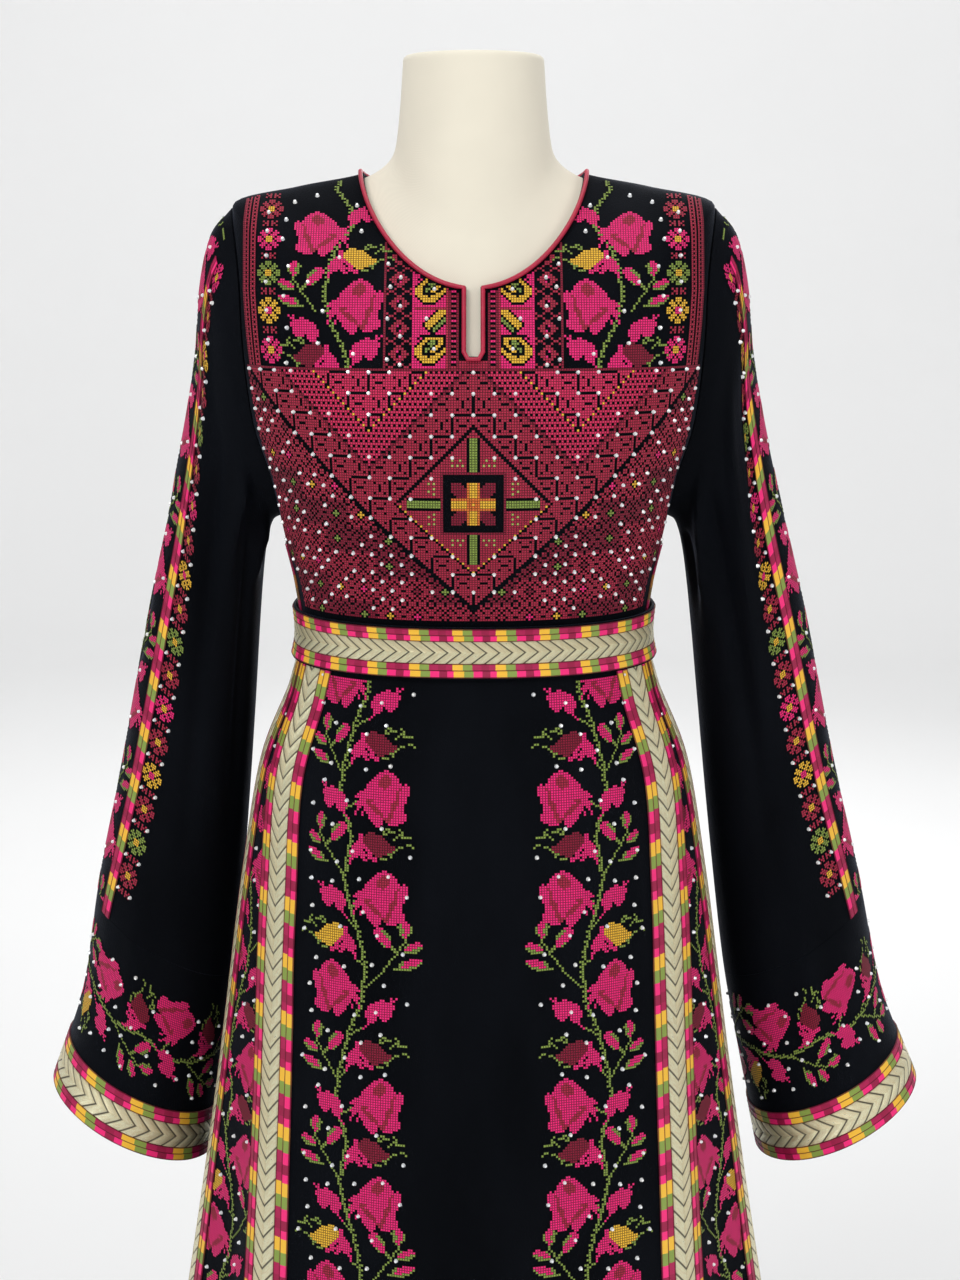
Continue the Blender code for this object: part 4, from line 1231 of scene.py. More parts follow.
@made_once("materials", "black velvet")
def velvet_cloth(name):
    """Black silk velvet: a matt pile with broad brushed patches and a faint blue sheen."""
    made, tree, shader = new_material(name, 0.75, sheen_weight=0.15, sheen_roughness=0.30,
                                      specular_ior_level=0.05)
    shader.inputs["Sheen Tint"].default_value = (0.42, 0.50, 0.72, 1.0)
    where = add_node(tree, "TexCoord").outputs["Object"]
    drawn = add_node(tree, "Mapping", {"Vector": where, "Scale": (1.0, 1.0, 0.35)}).outputs[0]
    grain = use_group(tree, grain_group(), vector=drawn, fine_scale=1400.0, broad_scale=11.0)
    patch = remap(tree, grain.outputs["Broad"], 0.35, 0.7, 0.0, 1.0)
    feed(tree, shader, shades_of(tree, colours().velvet, patch, 0.75, 1.5),
         remap(tree, patch, 0.0, 1.0, 0.82, 0.62))
    bump(tree, shader, grain.outputs["Fine"], 0.0005, 0.6)
    return made


@made_once("materials", "cross-stitch thread")
def sewing_thread(name):
    """Cotton cross-stitch, whose colour is the piece's own attribute."""
    made, tree, shader = new_material(name, 0.6, sheen_weight=0.03, specular_ior_level=0.2)
    where = add_node(tree, "UVMap", uv_map="lay").outputs[0]
    stitch = use_group(tree, cross_stitch_group(), vector=where)
    dyed = add_node(tree, "Attribute", attribute_name="thread_colour").outputs["Color"]
    lit = add_node(tree, "VectorMath", {0: dyed, 3: stitch.outputs["Shade"]}, operation="SCALE").outputs[0]
    tree.links.new(lit, shader.inputs["Base Color"])
    bump(tree, shader, stitch.outputs["Height"], 0.0005, 0.8)
    return made


@made_once("materials", "gold ribbon")
def gold_ribbon(name):
    """Pale metal thread in padded chevrons, with painted shade in its grooves and lower arms, painted
    highlights on its threads, and darker patches that are partly uneven thread and partly painted reflection.
    """
    made, tree, shader = new_material(name, 0.34, metallic=0.4, specular_ior_level=0.6)
    where = add_node(tree, "UVMap", uv_map="lay").outputs[0]
    ribs = use_group(tree, rib_group(), vector=where, count=26.0, waver=0.02)
    place_in = add_node(tree, "SeparateXYZ", {0: where})
    along = calc(tree, "FRACT", place_in.outputs[1])
    groove = calc(tree, "MINIMUM", along, calc(tree, "SUBTRACT", 1.0, along))
    open_pad = remap(tree, groove, 0.03, 0.13, 0.0, 1.0)
    each = noise(tree, where, 7.0, detail=3.0)
    # Painted highlight and shade: the rib mask lightens the crown of each thread and darkens the hollows
    # between them.
    threads = shades_of(tree, colours().gold, ribs.outputs["Mask"], 0.6, 1.25)
    # A darker, browner copy of the gold for painted shade. Noise patches mix it in, partly as uneven thread
    # and partly as painted reflection.
    shaded_gold = (*(c * share for c, share in zip(colours().gold, (0.70, 0.58, 0.42))), 1.0)
    uneven = blend_colours(tree, remap(tree, each, 0.4, 0.75, 0.0, 0.6), threads, shaded_gold)
    # Painted shade: the lower arm of each chevron is darker, standing in for its threads reflecting less
    # light.
    lower_arm = calc(tree, "GREATER_THAN", place_in.outputs[0], 0.5)
    turned = blend_colours(tree, calc(tree, "MULTIPLY", lower_arm, 0.18), uneven, shaded_gold)
    # Painted shade: the grooves between the padded chevrons are filled with a nearly black copy of the gold.
    dark = (*(c * 0.10 for c in colours().gold), 1.0)
    feed(tree, shader, blend_colours(tree, open_pad, dark, turned),
         remap(tree, each, 0.2, 0.8, 0.24, 0.42))
    bump(tree, shader, ribs.outputs["Height"], 0.0004, 0.8)
    return made


@made_once("materials", "striped braid")
def striped_braid(name):
    """Satin braid in pink, yellow and green blocks with dark cords along it."""
    made, tree, shader = new_material(name, 0.5, sheen_weight=0.02, specular_ior_level=0.3)
    where = add_node(tree, "UVMap", uv_map="lay").outputs[0]
    blocks = use_group(tree, block_group(), vector=where)
    feed(tree, shader, blocks.outputs["Color"],
         remap(tree, blocks.outputs["Cord"], 0.0, 1.0, 0.38, 0.65))
    bump(tree, shader, blocks.outputs["Height"], 0.0002, 0.4)
    return made


@made_once("materials", "satin binding")
def satin_binding(name):
    """Crimson satin with fine slanting threads."""
    made, tree, shader = new_material(name, 0.4, specular_ior_level=0.5)
    where = add_node(tree, "TexCoord").outputs["Object"]
    grain = use_group(tree, grain_group(), vector=where, fine_scale=1800.0, broad_scale=60.0)
    feed(tree, shader, shades_of(tree, colours().binding, grain.outputs["Broad"], 0.6, 1.25),
         remap(tree, grain.outputs["Fine"], 0.3, 0.7, 0.32, 0.5))
    bump(tree, shader, grain.outputs["Fine"], 0.0003, 0.5)
    return made


@made_once("materials", "form linen")
def form_linen(name):
    """The form's cream cover, a fine plain weave."""
    made, tree, shader = new_material(name, 0.85, sheen_weight=0.1)
    where = add_node(tree, "TexCoord").outputs["Object"]
    weave = use_group(tree, weave_group(), vector=where, scale=4200.0)
    grain = use_group(tree, grain_group(), vector=where, fine_scale=700.0, broad_scale=14.0)
    threads = remap(tree, weave.outputs["Height"], -1.0, 1.0, 0.0, 1.0)
    share = calc(tree, "MULTIPLY_ADD", threads, 0.2, calc(tree, "MULTIPLY", grain.outputs["Broad"], 0.8))
    feed(tree, shader, shades_of(tree, colours().form, share, 0.86, 1.06),
         remap(tree, grain.outputs["Fine"], 0.3, 0.7, 0.78, 0.92))
    bump(tree, shader, threads, 0.0002, 0.1)
    return made


@made_once("materials", "satin steel")
def satin_steel(name):
    """Brushed steel of the pole and foot."""
    made, tree, shader = new_material(name, 0.32, metallic=1.0)
    where = add_node(tree, "TexCoord").outputs["Object"]
    brushed = add_node(tree, "Mapping", {"Vector": where, "Scale": (1.0, 1.0, 0.04)}).outputs[0]
    grain = use_group(tree, grain_group(), vector=brushed, fine_scale=900.0, broad_scale=12.0)
    feed(tree, shader, shades_of(tree, colours().steel, grain.outputs["Broad"], 0.85, 1.1),
         remap(tree, grain.outputs["Fine"], 0.3, 0.7, 0.26, 0.42))
    bump(tree, shader, grain.outputs["Fine"], 0.0001, 0.3)
    return made


@made_once("materials", "cut stone")
def cut_stone(name):
    """White foiled glass."""
    made, tree, shader = new_material(name, 0.16, metallic=0.15, specular_ior_level=0.8, coat_weight=0.6)
    where = add_node(tree, "TexCoord").outputs["Object"]
    tint = noise(tree, where, 160.0, detail=0.0)
    warm = (*colours().stone, 1.0)
    cool = (0.84, 0.87, 0.90, 1.0)
    tree.links.new(blend_colours(tree, remap(tree, tint, 0.35, 0.65, 0.0, 1.0), warm, cool),
                   shader.inputs["Base Color"])
    return made


def studio_paper():
    """The pale floor and backdrop."""
    made, tree, shader = new_material("studio paper", 0.9)
    where = add_node(tree, "TexCoord").outputs["Object"]
    grain = use_group(tree, grain_group(), vector=where, fine_scale=60.0, broad_scale=0.8)
    shades = shades_of(tree, colours().floor, grain.outputs["Broad"], 0.97, 1.02)
    tree.links.new(shades, shader.inputs["Base Color"])
    return made


def chart(name):
    """A chart's letters as an array of thread numbers."""
    lines = CHARTS[name].split()
    return np.array([[CODE[letter] for letter in line] for line in lines])


def recoloured(motif, swaps):
    """A motif with some of its threads swapped, such as {"m": "y"}."""
    made = motif.copy()
    for old, new in swaps.items():
        made[motif == CODE[old]] = CODE[new]
    return made


def motif(name):
    if name == "yellow_bud":
        return recoloured(chart("bud"), {"m": "y"})
    return chart(name)


def stamp(canvas, what, row, column, mirrored=False):
    """Lays a motif on a canvas, where its threads cover what is there."""
    what = what[:, ::-1] if mirrored else what
    top, left = max(row, 0), max(column, 0)
    bottom = min(row + what.shape[0], canvas.shape[0])
    right = min(column + what.shape[1], canvas.shape[1])
    if bottom <= top or right <= left:
        return
    part = what[top - row : bottom - row, left - column : right - column]
    target = canvas[top:bottom, left:right]
    target[part > 0] = part[part > 0]


def stitch_line(canvas, corners, letter="g", width=2):
    """A line of stitches through corners given as (row, column)."""
    for (row, column), (next_row, next_column) in zip(corners[:-1], corners[1:]):
        steps = max(abs(next_row - row), abs(next_column - column), 1)
        for step in range(steps + 1):
            at_row = round(row + (next_row - row) * step / steps)
            at_column = round(column + (next_column - column) * step / steps)
            reach = max(width - at_row % 2, 1)
            if 0 <= at_row < canvas.shape[0] and 0 <= at_column:
                canvas[at_row, at_column : at_column + reach] = CODE[letter]


def moved(corners, rows):
    return [(row + rows, column) for row, column in corners]


def vine_chart(rows):
    """The tall rose vine, with the places of its stones as (row, column)."""
    canvas = np.zeros((rows, VINE_COLUMNS), int)
    stones = []
    for start in range(VINE_START - VINE_REPEAT, rows, VINE_REPEAT):
        stitch_line(canvas, moved(VINE_STEM, start))
        for stalk in VINE_STALKS:
            stitch_line(canvas, moved(stalk, start), width=1)
        for row, column, name, mirrored in VINE_MOTIFS:
            stamp(canvas, motif(name), start + row, column, mirrored)
        stones += moved(VINE_STONES, start)
    return canvas, [(row, column) for row, column in stones if 0 <= row < rows]


def sleeve_chart(rows):
    """A sleeve's narrow vine with rosettes beside it."""
    canvas = np.zeros((rows, SLEEVE_CHART_COLUMNS), int)
    stones = []
    for start in range(-20, rows, SLEEVE_REPEAT):
        stitch_line(canvas, moved(SLEEVE_STEM, start))
        for row, column, name, mirrored in SLEEVE_VINE:
            stamp(canvas, motif(name), start + row, column, mirrored)
        stones += moved(SLEEVE_STONES, start)
    middle = SLEEVE_STEM_COLUMN
    canvas[:, : middle - SLEEVE_VINE_HALF] = 0
    canvas[:, middle + SLEEVE_VINE_HALF + 1 :] = 0
    near = ROSETTE_COLUMN
    for i, row in enumerate(range(3, rows - 11, ROSETTE_STEP)):
        letter = ROSETTE_THREADS[i % len(ROSETTE_THREADS)]
        made = recoloured(chart("rosette"), {"p": letter, "y": "p" if letter == "y" else "y"})
        stamp(canvas, made, row, middle + near)
        stamp(canvas, made, row, middle - near - 10)
        stamp(canvas, chart("link"), row + 12, middle + near + 2)
        stamp(canvas, chart("link"), row + 12, middle - near - 8)
        stones += [(row + 13, middle + side * (near + 5 + off)) for side in (-1, 1) for off in (-4, 4)]
    return canvas, [(row, column) for row, column in stones if 0 <= row < rows]


def chest_ground(r, c):
    """The lower field's crimson ground: bricks, checks, blocks and the diamond. r and c are arrays."""
    ground = np.full(np.broadcast(r, c).shape, CODE["c"])
    step_r, step_c = r // BRICK, c // BRICK
    flat_course = (step_r + step_c) % 2 == 0
    ground[(r % BRICK == 0) & flat_course & (c % BRICK > 0)] = 0
    ground[(c % BRICK == 0) & ~flat_course & (r % BRICK > 0)] = 0
    ground[(r % BRICK == BRICK // 2) & flat_course & (c % BRICK > 2) & (c % BRICK < 6)] = 0
    ground[(c % BRICK == BRICK // 2) & ~flat_course & (r % BRICK > 2) & (r % BRICK < 6)] = 0
    ground[(r % 4 == 2) & (c % 4 == 2)] = 0
    vee = np.abs(c - VEE_COLUMN) + r
    checks = (vee > VEE_REACH) & (vee < CHECK_REACH)
    ground[(vee < VEE_REACH) & (ground == CODE["c"])] = CODE["r"]
    ground[checks] = CODE["r"]
    ground[checks & (r % 4 == 0) & (c % 2 == 0)] = 0
    ground[checks & (r % 4 == 2) & (c % 2 == 1)] = 0
    ground[(vee == VEE_REACH) & (r % 2 == 0)] = CODE["y"]
    ground[(vee == VEE_REACH) & (r % 2 == 1)] = 0
    ground[(vee == CHECK_REACH) | (vee == CHECK_REACH + 1)] = CODE["m"]
    ground[(vee == CHECK_REACH) & (r % 2 == 0)] = 0
    big = c + r - DIAMOND_ROW
    ground[(big >= BIG_VEE_REACH - 1) & (big <= BIG_VEE_REACH)] = 0
    return ground


def chest_blocks(canvas, r, c):
    """Square blocks beyond the big vee, in crimson and maroon with a few bright middles."""
    tile = chart("block")
    size = tile.shape[0]
    half = size // 2
    row_in, column_in = (r + half) % size, (c + half) % size
    blocks = tile[row_in, column_in]
    turn = ((r + half) // size * 3 + (c + half) // size * 5) % 7
    crimson, maroon = CODE["c"], CODE["m"]
    petals = np.where(turn % 2 == 0, crimson, maroon)
    middles = np.choose(turn, [CODE[letter] for letter in "ygpmcgm"])
    blocks = np.where(blocks == crimson, petals, np.where(blocks == maroon, middles, 0))
    beyond = c + r - DIAMOND_ROW > BIG_VEE_REACH
    canvas[beyond] = blocks[beyond]


def chest_diamond(canvas, r, c):
    """The middle diamond with its square, star and four green darts."""
    down = r - DIAMOND_ROW
    up = np.abs(down)
    far = c + up
    inside = far <= DIAMOND_REACH
    canvas[inside] = CODE["c"]
    rim = (far == DIAMOND_REACH) | (far == DIAMOND_REACH - 1)
    canvas[rim & (down < 0)] = 0
    canvas[(far == DIAMOND_REACH) & (down >= 0)] = 0
    canvas[(far == DIAMOND_REACH - 1) & (down >= 0) & (c % 2 == 0)] = CODE["y"]
    for along, beside in ((up, c), (c, up)):
        dart = (along > SQUARE_REACH) & (along < DART_END)
        canvas[dart & (beside <= 1)] = CODE["g"]
        canvas[dart & (beside == 2)] = 0
        leaf = (along == SQUARE_REACH + 3) & (beside >= 4) & (beside <= 8)
        tips = (along == SQUARE_REACH + 5) & ((beside == 5) | (beside == 8))
        canvas[(leaf & (beside % 2 == 0)) | tips] = CODE["l"]
    square = np.maximum(c, up)
    canvas[square <= SQUARE_REACH] = 0
    canvas[square == SQUARE_REACH] = CODE["m"]
    in_star = square <= STAR_REACH
    petals = in_star & (np.abs(c - up) <= 3) & (c >= 3) & (up >= 3)
    canvas[petals] = CODE["m"]
    canvas[in_star & (c <= 2) & (up <= STAR_REACH)] = CODE["y"]
    canvas[in_star & (up <= 2) & (c <= STAR_REACH)] = CODE["y"]
    canvas[in_star & ((c == 2) | (up == 2)) & (far > 4) & ((c <= 2) | (up <= 2))] = CODE["o"]
    canvas[in_star & (c <= 2) & (up <= 2)] = CODE["o"]
    canvas[in_star & (c == 0) & (up == 0)] = CODE["y"]


def chest_upper(canvas, first_row):
    """The right half of the upper field: ladder, hooks, lozenges, vine, rosettes and rails."""
    rows = -first_row
    half = canvas[:rows]
    for name, start, width in (("ladder", 5, 6), ("hooks", 11, 12), ("lozenges", 24, 10)):
        tile = chart(name)
        height = tile.shape[0]
        phase = rows % height
        for row in range(-height + phase, rows, height):
            stamp(half, tile, row, start)
    half[:, 23] = CODE["p"]
    half[:, 34] = CODE["m"]
    stitch_line(half, moved(UPPER_STEM, rows))
    for row, column, name, mirrored in UPPER_MOTIFS:
        stamp(half, motif(name), row + rows, column, mirrored)
    for row, letter in UPPER_ROSETTES:
        swapped = {"p": letter, "y": "p" if letter == "y" else "y"}
        stamp(half, recoloured(chart("rosette"), swapped), row + rows - 5, 76)
        stamp(half, chart("link"), row + rows - 9, 78)
    for column in (88, 90, 92, 94):
        half[:, column] = CODE["c"]
    half[::2, 89] = CODE["c"]
    half[1::2, 93] = CODE["m"]
    half[:, 95] = CODE["m"]
    half[rows - 9 :, :5] = CODE["c"]
    half[rows - 1] = CODE["m"]


def chest_chart():
    """The whole chest and its stones, as rows from CHEST_TOP_ROW and columns from its left edge."""
    r = np.arange(CHEST_TOP_ROW, CHEST_BOTTOM_ROW)[:, None]
    c = np.arange(CHEST_HALF_COLUMNS)[None, :]
    half = np.zeros((r.size, c.size), int)
    lower = -CHEST_TOP_ROW
    r_low, c_low = np.broadcast_arrays(r[lower:], c)
    ground = chest_ground(r_low, c_low)
    chest_blocks(ground, r_low, c_low)
    chest_diamond(ground, r_low, c_low)
    half[lower:] = ground
    chest_upper(half, CHEST_TOP_ROW)
    canvas = np.concatenate([half[:, :0:-1], half], axis=1)
    middle = CHEST_HALF_COLUMNS - 1
    stones = []
    for row, column in UPPER_STONES + chest_lower_stones():
        stones += [(row + lower, middle + column), (row + lower, middle - column)]
    return canvas, sorted(set(stones))


def chest_lower_stones():
    """Stones at the corners of the bricks and between the blocks, with some left out by hand's unevenness."""
    draw = np.random.default_rng(7)
    spots = []
    for row in range(0, CHEST_BOTTOM_ROW - 4, 4):
        for column in range(0, CHEST_HALF_COLUMNS, 4):
            far = column + abs(row - DIAMOND_ROW)
            vee = abs(column - VEE_COLUMN) + row
            big = column + row - DIAMOND_ROW
            if far < DIAMOND_REACH - 4 and max(column, abs(row - DIAMOND_ROW)) != SQUARE_REACH:
                continue
            if VEE_REACH < vee < CHECK_REACH and (row + column) % 12 != 0:
                continue
            if big > BIG_VEE_REACH:
                keep = (row + column) % 8 == 0 and draw.random() < 0.68
            else:
                keep = row % BRICK == 0 and column % BRICK == 0
            if keep and draw.random() < 0.86:
                spots.append((row, column))
    return tuple(spots)


def under_belt():
    """Levels down the skirt, from just under the belt to the hem."""
    down = (BELT_HALF_HEIGHT + BELT_CLEAR) * float(levels_per_metre(body, WAIST_LEVEL, 90.0))
    return np.linspace(WAIST_LEVEL - down, VINE_END_LEVEL, 900)


def vine_place(side):
    """Maps a vine's chart onto the front panel: at(column, row, out), and the number of rows that fit."""
    sign = SIDES[side]

    def middle(level):
        share = np.clip((WAIST_Z - BODY("side_z", level)) / (WAIST_Z - VINE_LOW_Z), 0.0, 1.6)
        return sign * angle_of_width(level, VINE_TOP_OFFSET + (VINE_LOW_OFFSET - VINE_TOP_OFFSET) * share)

    return chart_place(body, under_belt(), middle, VINE_MIDDLE, -sign)


def chart_place(surface, levels, middle, middle_column, sign):
    """Maps a chart down a line over a surface. middle(level) is the angle under the chart's middle column."""
    run = Run(surface, levels, middle(levels))
    stitch = sizes().stitch

    def at(column, row, out):
        level = run.level(np.asarray(row, float) * stitch)
        centre = middle(level)
        away = (np.asarray(column, float) - middle_column - 0.5) * stitch * sign
        angle = centre + away * degrees_per_metre(surface, level, centre)
        return lift(surface, level, angle, out)

    return at, int(run.length / stitch)


def side_middle(side, level):
    """The angle of the middle line of a skirt side panel."""
    return SIDES[side] * (SEAMS("front_seam", level) + SEAMS("side_seam", level)) / 2


def side_vine_place(side):
    """The same down the middle of a skirt side panel."""
    return chart_place(body, under_belt(), lambda level: side_middle(side, level), VINE_MIDDLE, -SIDES[side])


def side_vine_mask(side, rows):
    """Which stitches of a side panel's vine are clear of the bands on its seams."""
    levels = under_belt()
    run = Run(body, levels, side_middle(side, levels))
    at = run.level((np.arange(rows) + 0.5) * sizes().stitch)
    half_angle = (SEAMS("side_seam", at) - SEAMS("front_seam", at)) / 2
    half = half_angle / degrees_per_metre(body, at, side_middle(side, at))
    clear = half - GOLD_WIDTH / 2 - BRAID_WIDTH - SEAM_CLEAR
    away = np.abs(np.arange(VINE_COLUMNS) - VINE_MIDDLE) * sizes().stitch
    return away[None, :] < clear[:, None]


def sleeve_place(side):
    """Maps a sleeve's chart down its outer line."""
    surface, sign = sleeve_of(side), SIDES[side]
    run = Run(surface, np.linspace(SLEEVE_START_LEVEL + 0.3, CUFF_LEVEL - 0.06, 700), 0.0)
    stitch = sizes().stitch

    def at(column, row, out):
        level = run.level(np.asarray(row, float) * stitch)
        arc = (np.asarray(column, float) - SLEEVE_STEM_COLUMN - 0.5) * stitch * sign
        return lift(surface, level, arc_angle(surface, level, arc), out)

    return at, int(run.length / stitch)


def cuff_place(side):
    """Maps the vine, laid on its side, round a cuff. Columns run round from its inner line."""
    surface = sleeve_of(side)
    ring = ring_run(surface, CUFF_VINE_LEVEL, -180.0)
    down = Run(surface, np.linspace(CUFF_LEVEL + 0.02, CUFF_BAND_LEVEL, 200), 90.0)
    columns = 2 * VINE_REPEAT
    start = (down.length - VINE_COLUMNS * sizes().stitch) * 0.5

    def at(column, row, out):
        level = down.level(start + np.asarray(row, float) * sizes().stitch)
        return lift(surface, level, ring.angle(np.asarray(column, float) / columns * ring.length), out)

    return at


class ChestMap:
    """Level rows of stitches over the front bodice, which knows the level and angle under each grid point."""

    def __init__(self):
        stitch = sizes().stitch
        levels = np.linspace(WAIST_LEVEL, NECK_LEVEL, LINE_STEPS)
        angles = np.linspace(-100.0, 100.0, 401)
        line = body(levels, angle_of_width(levels, CHEST_LINE_X))
        far = measured(line)
        start = np.interp(CHEST_LINE_Z, line[:, 2], far)
        self.rows = np.arange(CHEST_TOP_ROW, CHEST_BOTTOM_ROW + 1)
        self.columns = np.arange(-CHEST_HALF_COLUMNS, CHEST_HALF_COLUMNS + 1)
        heights = np.interp(start - self.rows * stitch, far, line[:, 2])
        grid = body(levels[:, None], angles[None, :])
        found = np.array([np.interp(heights, grid[:, j, 2], levels) for j in range(angles.size)]).T
        neck_front = float(grid[-1, angles.size // 2, 2]) - stitch
        reference = int(np.argmax(heights < neck_front))
        points = body(found[reference], angles)
        across = measured(points) - np.interp(0.0, angles, measured(points))
        sideways = np.interp((self.columns + 0.5) * stitch, across, points[:, 0])
        self.level, self.angle = [], []
        for i, row in enumerate(found):
            points = body(row, angles)
            across = measured(points)
            across = across - np.interp(0.0, angles, across)
            angle = np.interp((self.columns + 0.5) * stitch, across, angles)
            if i < reference:
                angle = np.interp(sideways, points[:, 0], angles)
            self.angle.append(angle)
            self.level.append(np.interp(angle, angles, row))
        self.level, self.angle = np.array(self.level), np.array(self.angle)

    def at(self, column, row, out):
        """The place of a point of the chart's grid. Columns and rows are counted from the chart's corner."""
        column = np.clip(np.asarray(column, float), 0, 2 * CHEST_HALF_COLUMNS - 1e-6)
        row = np.clip(np.asarray(row, float), 0, len(self.rows) - 1 - 1e-6)
        i, j = row.astype(int), column.astype(int)
        s, t = row - i, column - j

        def read(values):
            upper = values[i, j] * (1 - t) + values[i, j + 1] * t
            lower = values[i + 1, j] * (1 - t) + values[i + 1, j + 1] * t
            return upper * (1 - s) + lower * s

        return lift(body, read(self.level), read(self.angle), out)

    def mask(self):
        """Which stitches lie on the panel, clear of its edges, the belt and the neck's binding."""
        level = (self.level[:-1, :-1] + self.level[1:, 1:]) / 2
        angle = (self.angle[:-1, :-1] + self.angle[1:, 1:]) / 2
        point = body(level, angle)
        edge = bodice_edge(level) - EDGE_CLEAR * degrees_per_metre(body, level, angle)
        under_neck = level < NECK_LEVEL - NECK_CLEAR * levels_per_metre(body, level, angle)
        belt_top = WAIST_Z + BELT_HALF_HEIGHT + BELT_CLEAR
        beside_slit = np.abs(point[..., 0]) > SLIT_HALF_WIDTH + SLIT_CLEAR
        under_slit = level < slit_level() - SLIT_FOOT_CLEAR * levels_per_metre(body, level, angle)
        on_panel = (np.abs(angle) < edge) & under_neck & (point[..., 2] > belt_top)
        return on_panel & (beside_slit | under_slit)


def cross_stitch(name, canvas, at, seed):
    """Stitches a chart onto the dress. at(column, row, out) is the place of a point of the chart's grid."""
    rows, columns = canvas.shape
    bm = flat_grid(columns, rows)
    thread = bm.faces.layers.int.new("thread")
    bare = []
    for face in bm.faces:
        x, y = face.calc_center_median()[:2]
        face[thread] = int(canvas[int((1 - y) * rows), int(x * columns)])
        if not face[thread]:
            bare.append(face)
    bmesh.ops.delete(bm, geom=bare, context="FACES")
    drop_edges(bm)
    height = sizes().stitch_height

    def put(u, v, foot):
        return at(u * columns, (1 - v) * rows, np.where(foot, -STITCH_ROOT, height))

    def map_point(u, v):
        return np.stack([u * columns, (1 - v) * rows], axis=-1)

    mesh = laid_mesh(name, bm, put, map_point)
    dye(mesh, seed)
    return new_piece(name, mesh, sewing_thread())


def dye(mesh, seed):
    """Colours a stitched mesh by its threads, each stitch a little its own shade."""
    codes = np.empty(len(mesh.polygons), int)
    mesh.attributes["thread"].data.foreach_get("value", codes)
    dyes = [(0.0, 0.0, 0.0)] + [tuple(getattr(colours(), name)) for name in list(THREADS.values())[1:]]
    shade = 1 + 0.16 * (np.random.default_rng(seed).random(len(codes)) - 0.5)
    face_colours = np.array(dyes)[codes] * shade[:, None]
    face_colours = np.concatenate([face_colours, np.ones((len(codes), 1))], axis=1)
    counts = np.empty(len(mesh.polygons), int)
    mesh.polygons.foreach_get("loop_total", counts)
    layer = mesh.attributes.new("thread_colour", "FLOAT_COLOR", "CORNER")
    layer.data.foreach_set("color", np.repeat(face_colours, counts, axis=0).ravel())


def stone_spots(at, spots):
    """Places and outward directions of stones given as (row, column)."""
    rows, columns = np.array(spots, float).T + 0.5
    low = at(columns, rows, np.zeros(len(spots)))
    high = at(columns, rows, np.full(len(spots), 0.001))
    return list(zip(low, high - low))


def sewn_stones(name, spots):
    """Joined cut stones, each a flat-topped cone standing on the cloth."""
    size = sizes()
    bm = bmesh.new()
    for where, out in spots:
        turn = Vector(out).to_track_quat("Z", "Y").to_matrix().to_4x4()
        lifted = Matrix.Translation(Vector(where)) @ turn @ Matrix.Translation((0, 0, size.stone_height / 2))
        bmesh.ops.create_cone(
            bm, cap_ends=True, segments=8, radius1=size.stone_width / 2, radius2=size.stone_width * 0.29,
            depth=size.stone_height, matrix=lifted,
        )
    mesh = bpy.data.meshes.new(name)
    bm.to_mesh(mesh)
    bm.free()
    return new_piece(name, mesh, cut_stone(), crisp=20.0)


def laid_band(name, at, distances, across, width, out, base, material, nodes, repeat, closed):
    """A band along at(away, distance, out). out(phase, share) is its top over its base."""
    columns, rows = len(distances) - 1, len(across) - 1
    bm = flat_grid(columns, rows, closed)
    drop_edges(bm)

    def read(u, v):
        distance = np.interp(u * columns, np.arange(columns + 1), distances)
        return distance, np.interp(v * rows, np.arange(rows + 1), across)

    def put(u, v, foot):
        distance, share = read(u, v)
        top = base + out(distance, share)
        return at(share * width / 2, distance, np.where(foot, base, top))

    def map_point(u, v):
        distance, share = read(u, v)
        return np.stack([share / 2 + 0.5, distance / repeat], axis=-1)

    mesh = laid_mesh(name, bm, put, map_point)
    return new_piece(name, mesh, material, nodes, crisp=55.0)


def gold_band(name, at, length, width, pitch, base, nodes, closed=False):
    """Ribbon of padded chevrons that point along growing distance."""
    count = max(round(length / pitch), 1)
    pitch = length / count
    distances = np.array([(i + phase) * pitch for i in range(count) for phase in PAD_PHASES] + [length])

    def slanted(away, distance, out):
        slant = CHEVRON_SLANT * np.abs(away)
        if not closed:
            reach = CHEVRON_SLANT * width
            slant = slant * np.clip(np.minimum(distance, length - distance) / reach, 0.0, 1.0)
        return at(away, distance - slant, out)

    def out(distance, share):
        phase = (distance / pitch) % 1.0
        pad = np.interp(phase, (*PAD_PHASES, 1.0), (*PAD_HEIGHTS, PAD_HEIGHTS[0]))
        return BAND_HEIGHT * pad * np.interp(share, PAD_ACROSS, PAD_CROWN)

    return laid_band(name, slanted, distances, PAD_ACROSS, width, out, base, gold_ribbon(), nodes,
                     pitch, closed)


def braid_band(name, at, length, width, repeat, base, nodes, closed=False):
    """Satin braid of two flat stripes with cords at its edges and middle."""
    if closed:
        repeat = length / max(round(length / repeat), 1)
    distances = np.linspace(0.0, length, max(round(length / BRAID_STEP), 2) + 1)

    def out(distance, share):
        return BAND_HEIGHT * np.interp(share, BRAID_ACROSS, BRAID_HEIGHTS)

    return laid_band(name, at, distances, BRAID_ACROSS, width, out, base, striped_braid(), nodes,
                     repeat, closed)


def trim_band(name, at, length, width, chevron, repeat, base, closed=False):
    """A ribbon or a braid in place of the node of this name."""
    if name.endswith("gold"):
        return gold_band(f"{name}_ribbon", at, length, width, chevron, base, [name], closed)
    return braid_band(f"{name}_trim", at, length, width, repeat, base, [name], closed)


def seam_place(seam, sign, offset, low, high):
    """A line down a seam of the body, and its length. Away is measured from the band's own middle."""
    levels = np.linspace(high, low, LINE_STEPS)
    run = Run(body, levels, sign * SEAMS(seam, levels))

    def at(away, distance, out):
        level = run.level(distance)
        centre = sign * SEAMS(seam, level)
        angle = centre + (offset + sign * away) * degrees_per_metre(body, level, centre)
        return lift(body, level, angle, out)

    return at, run.length


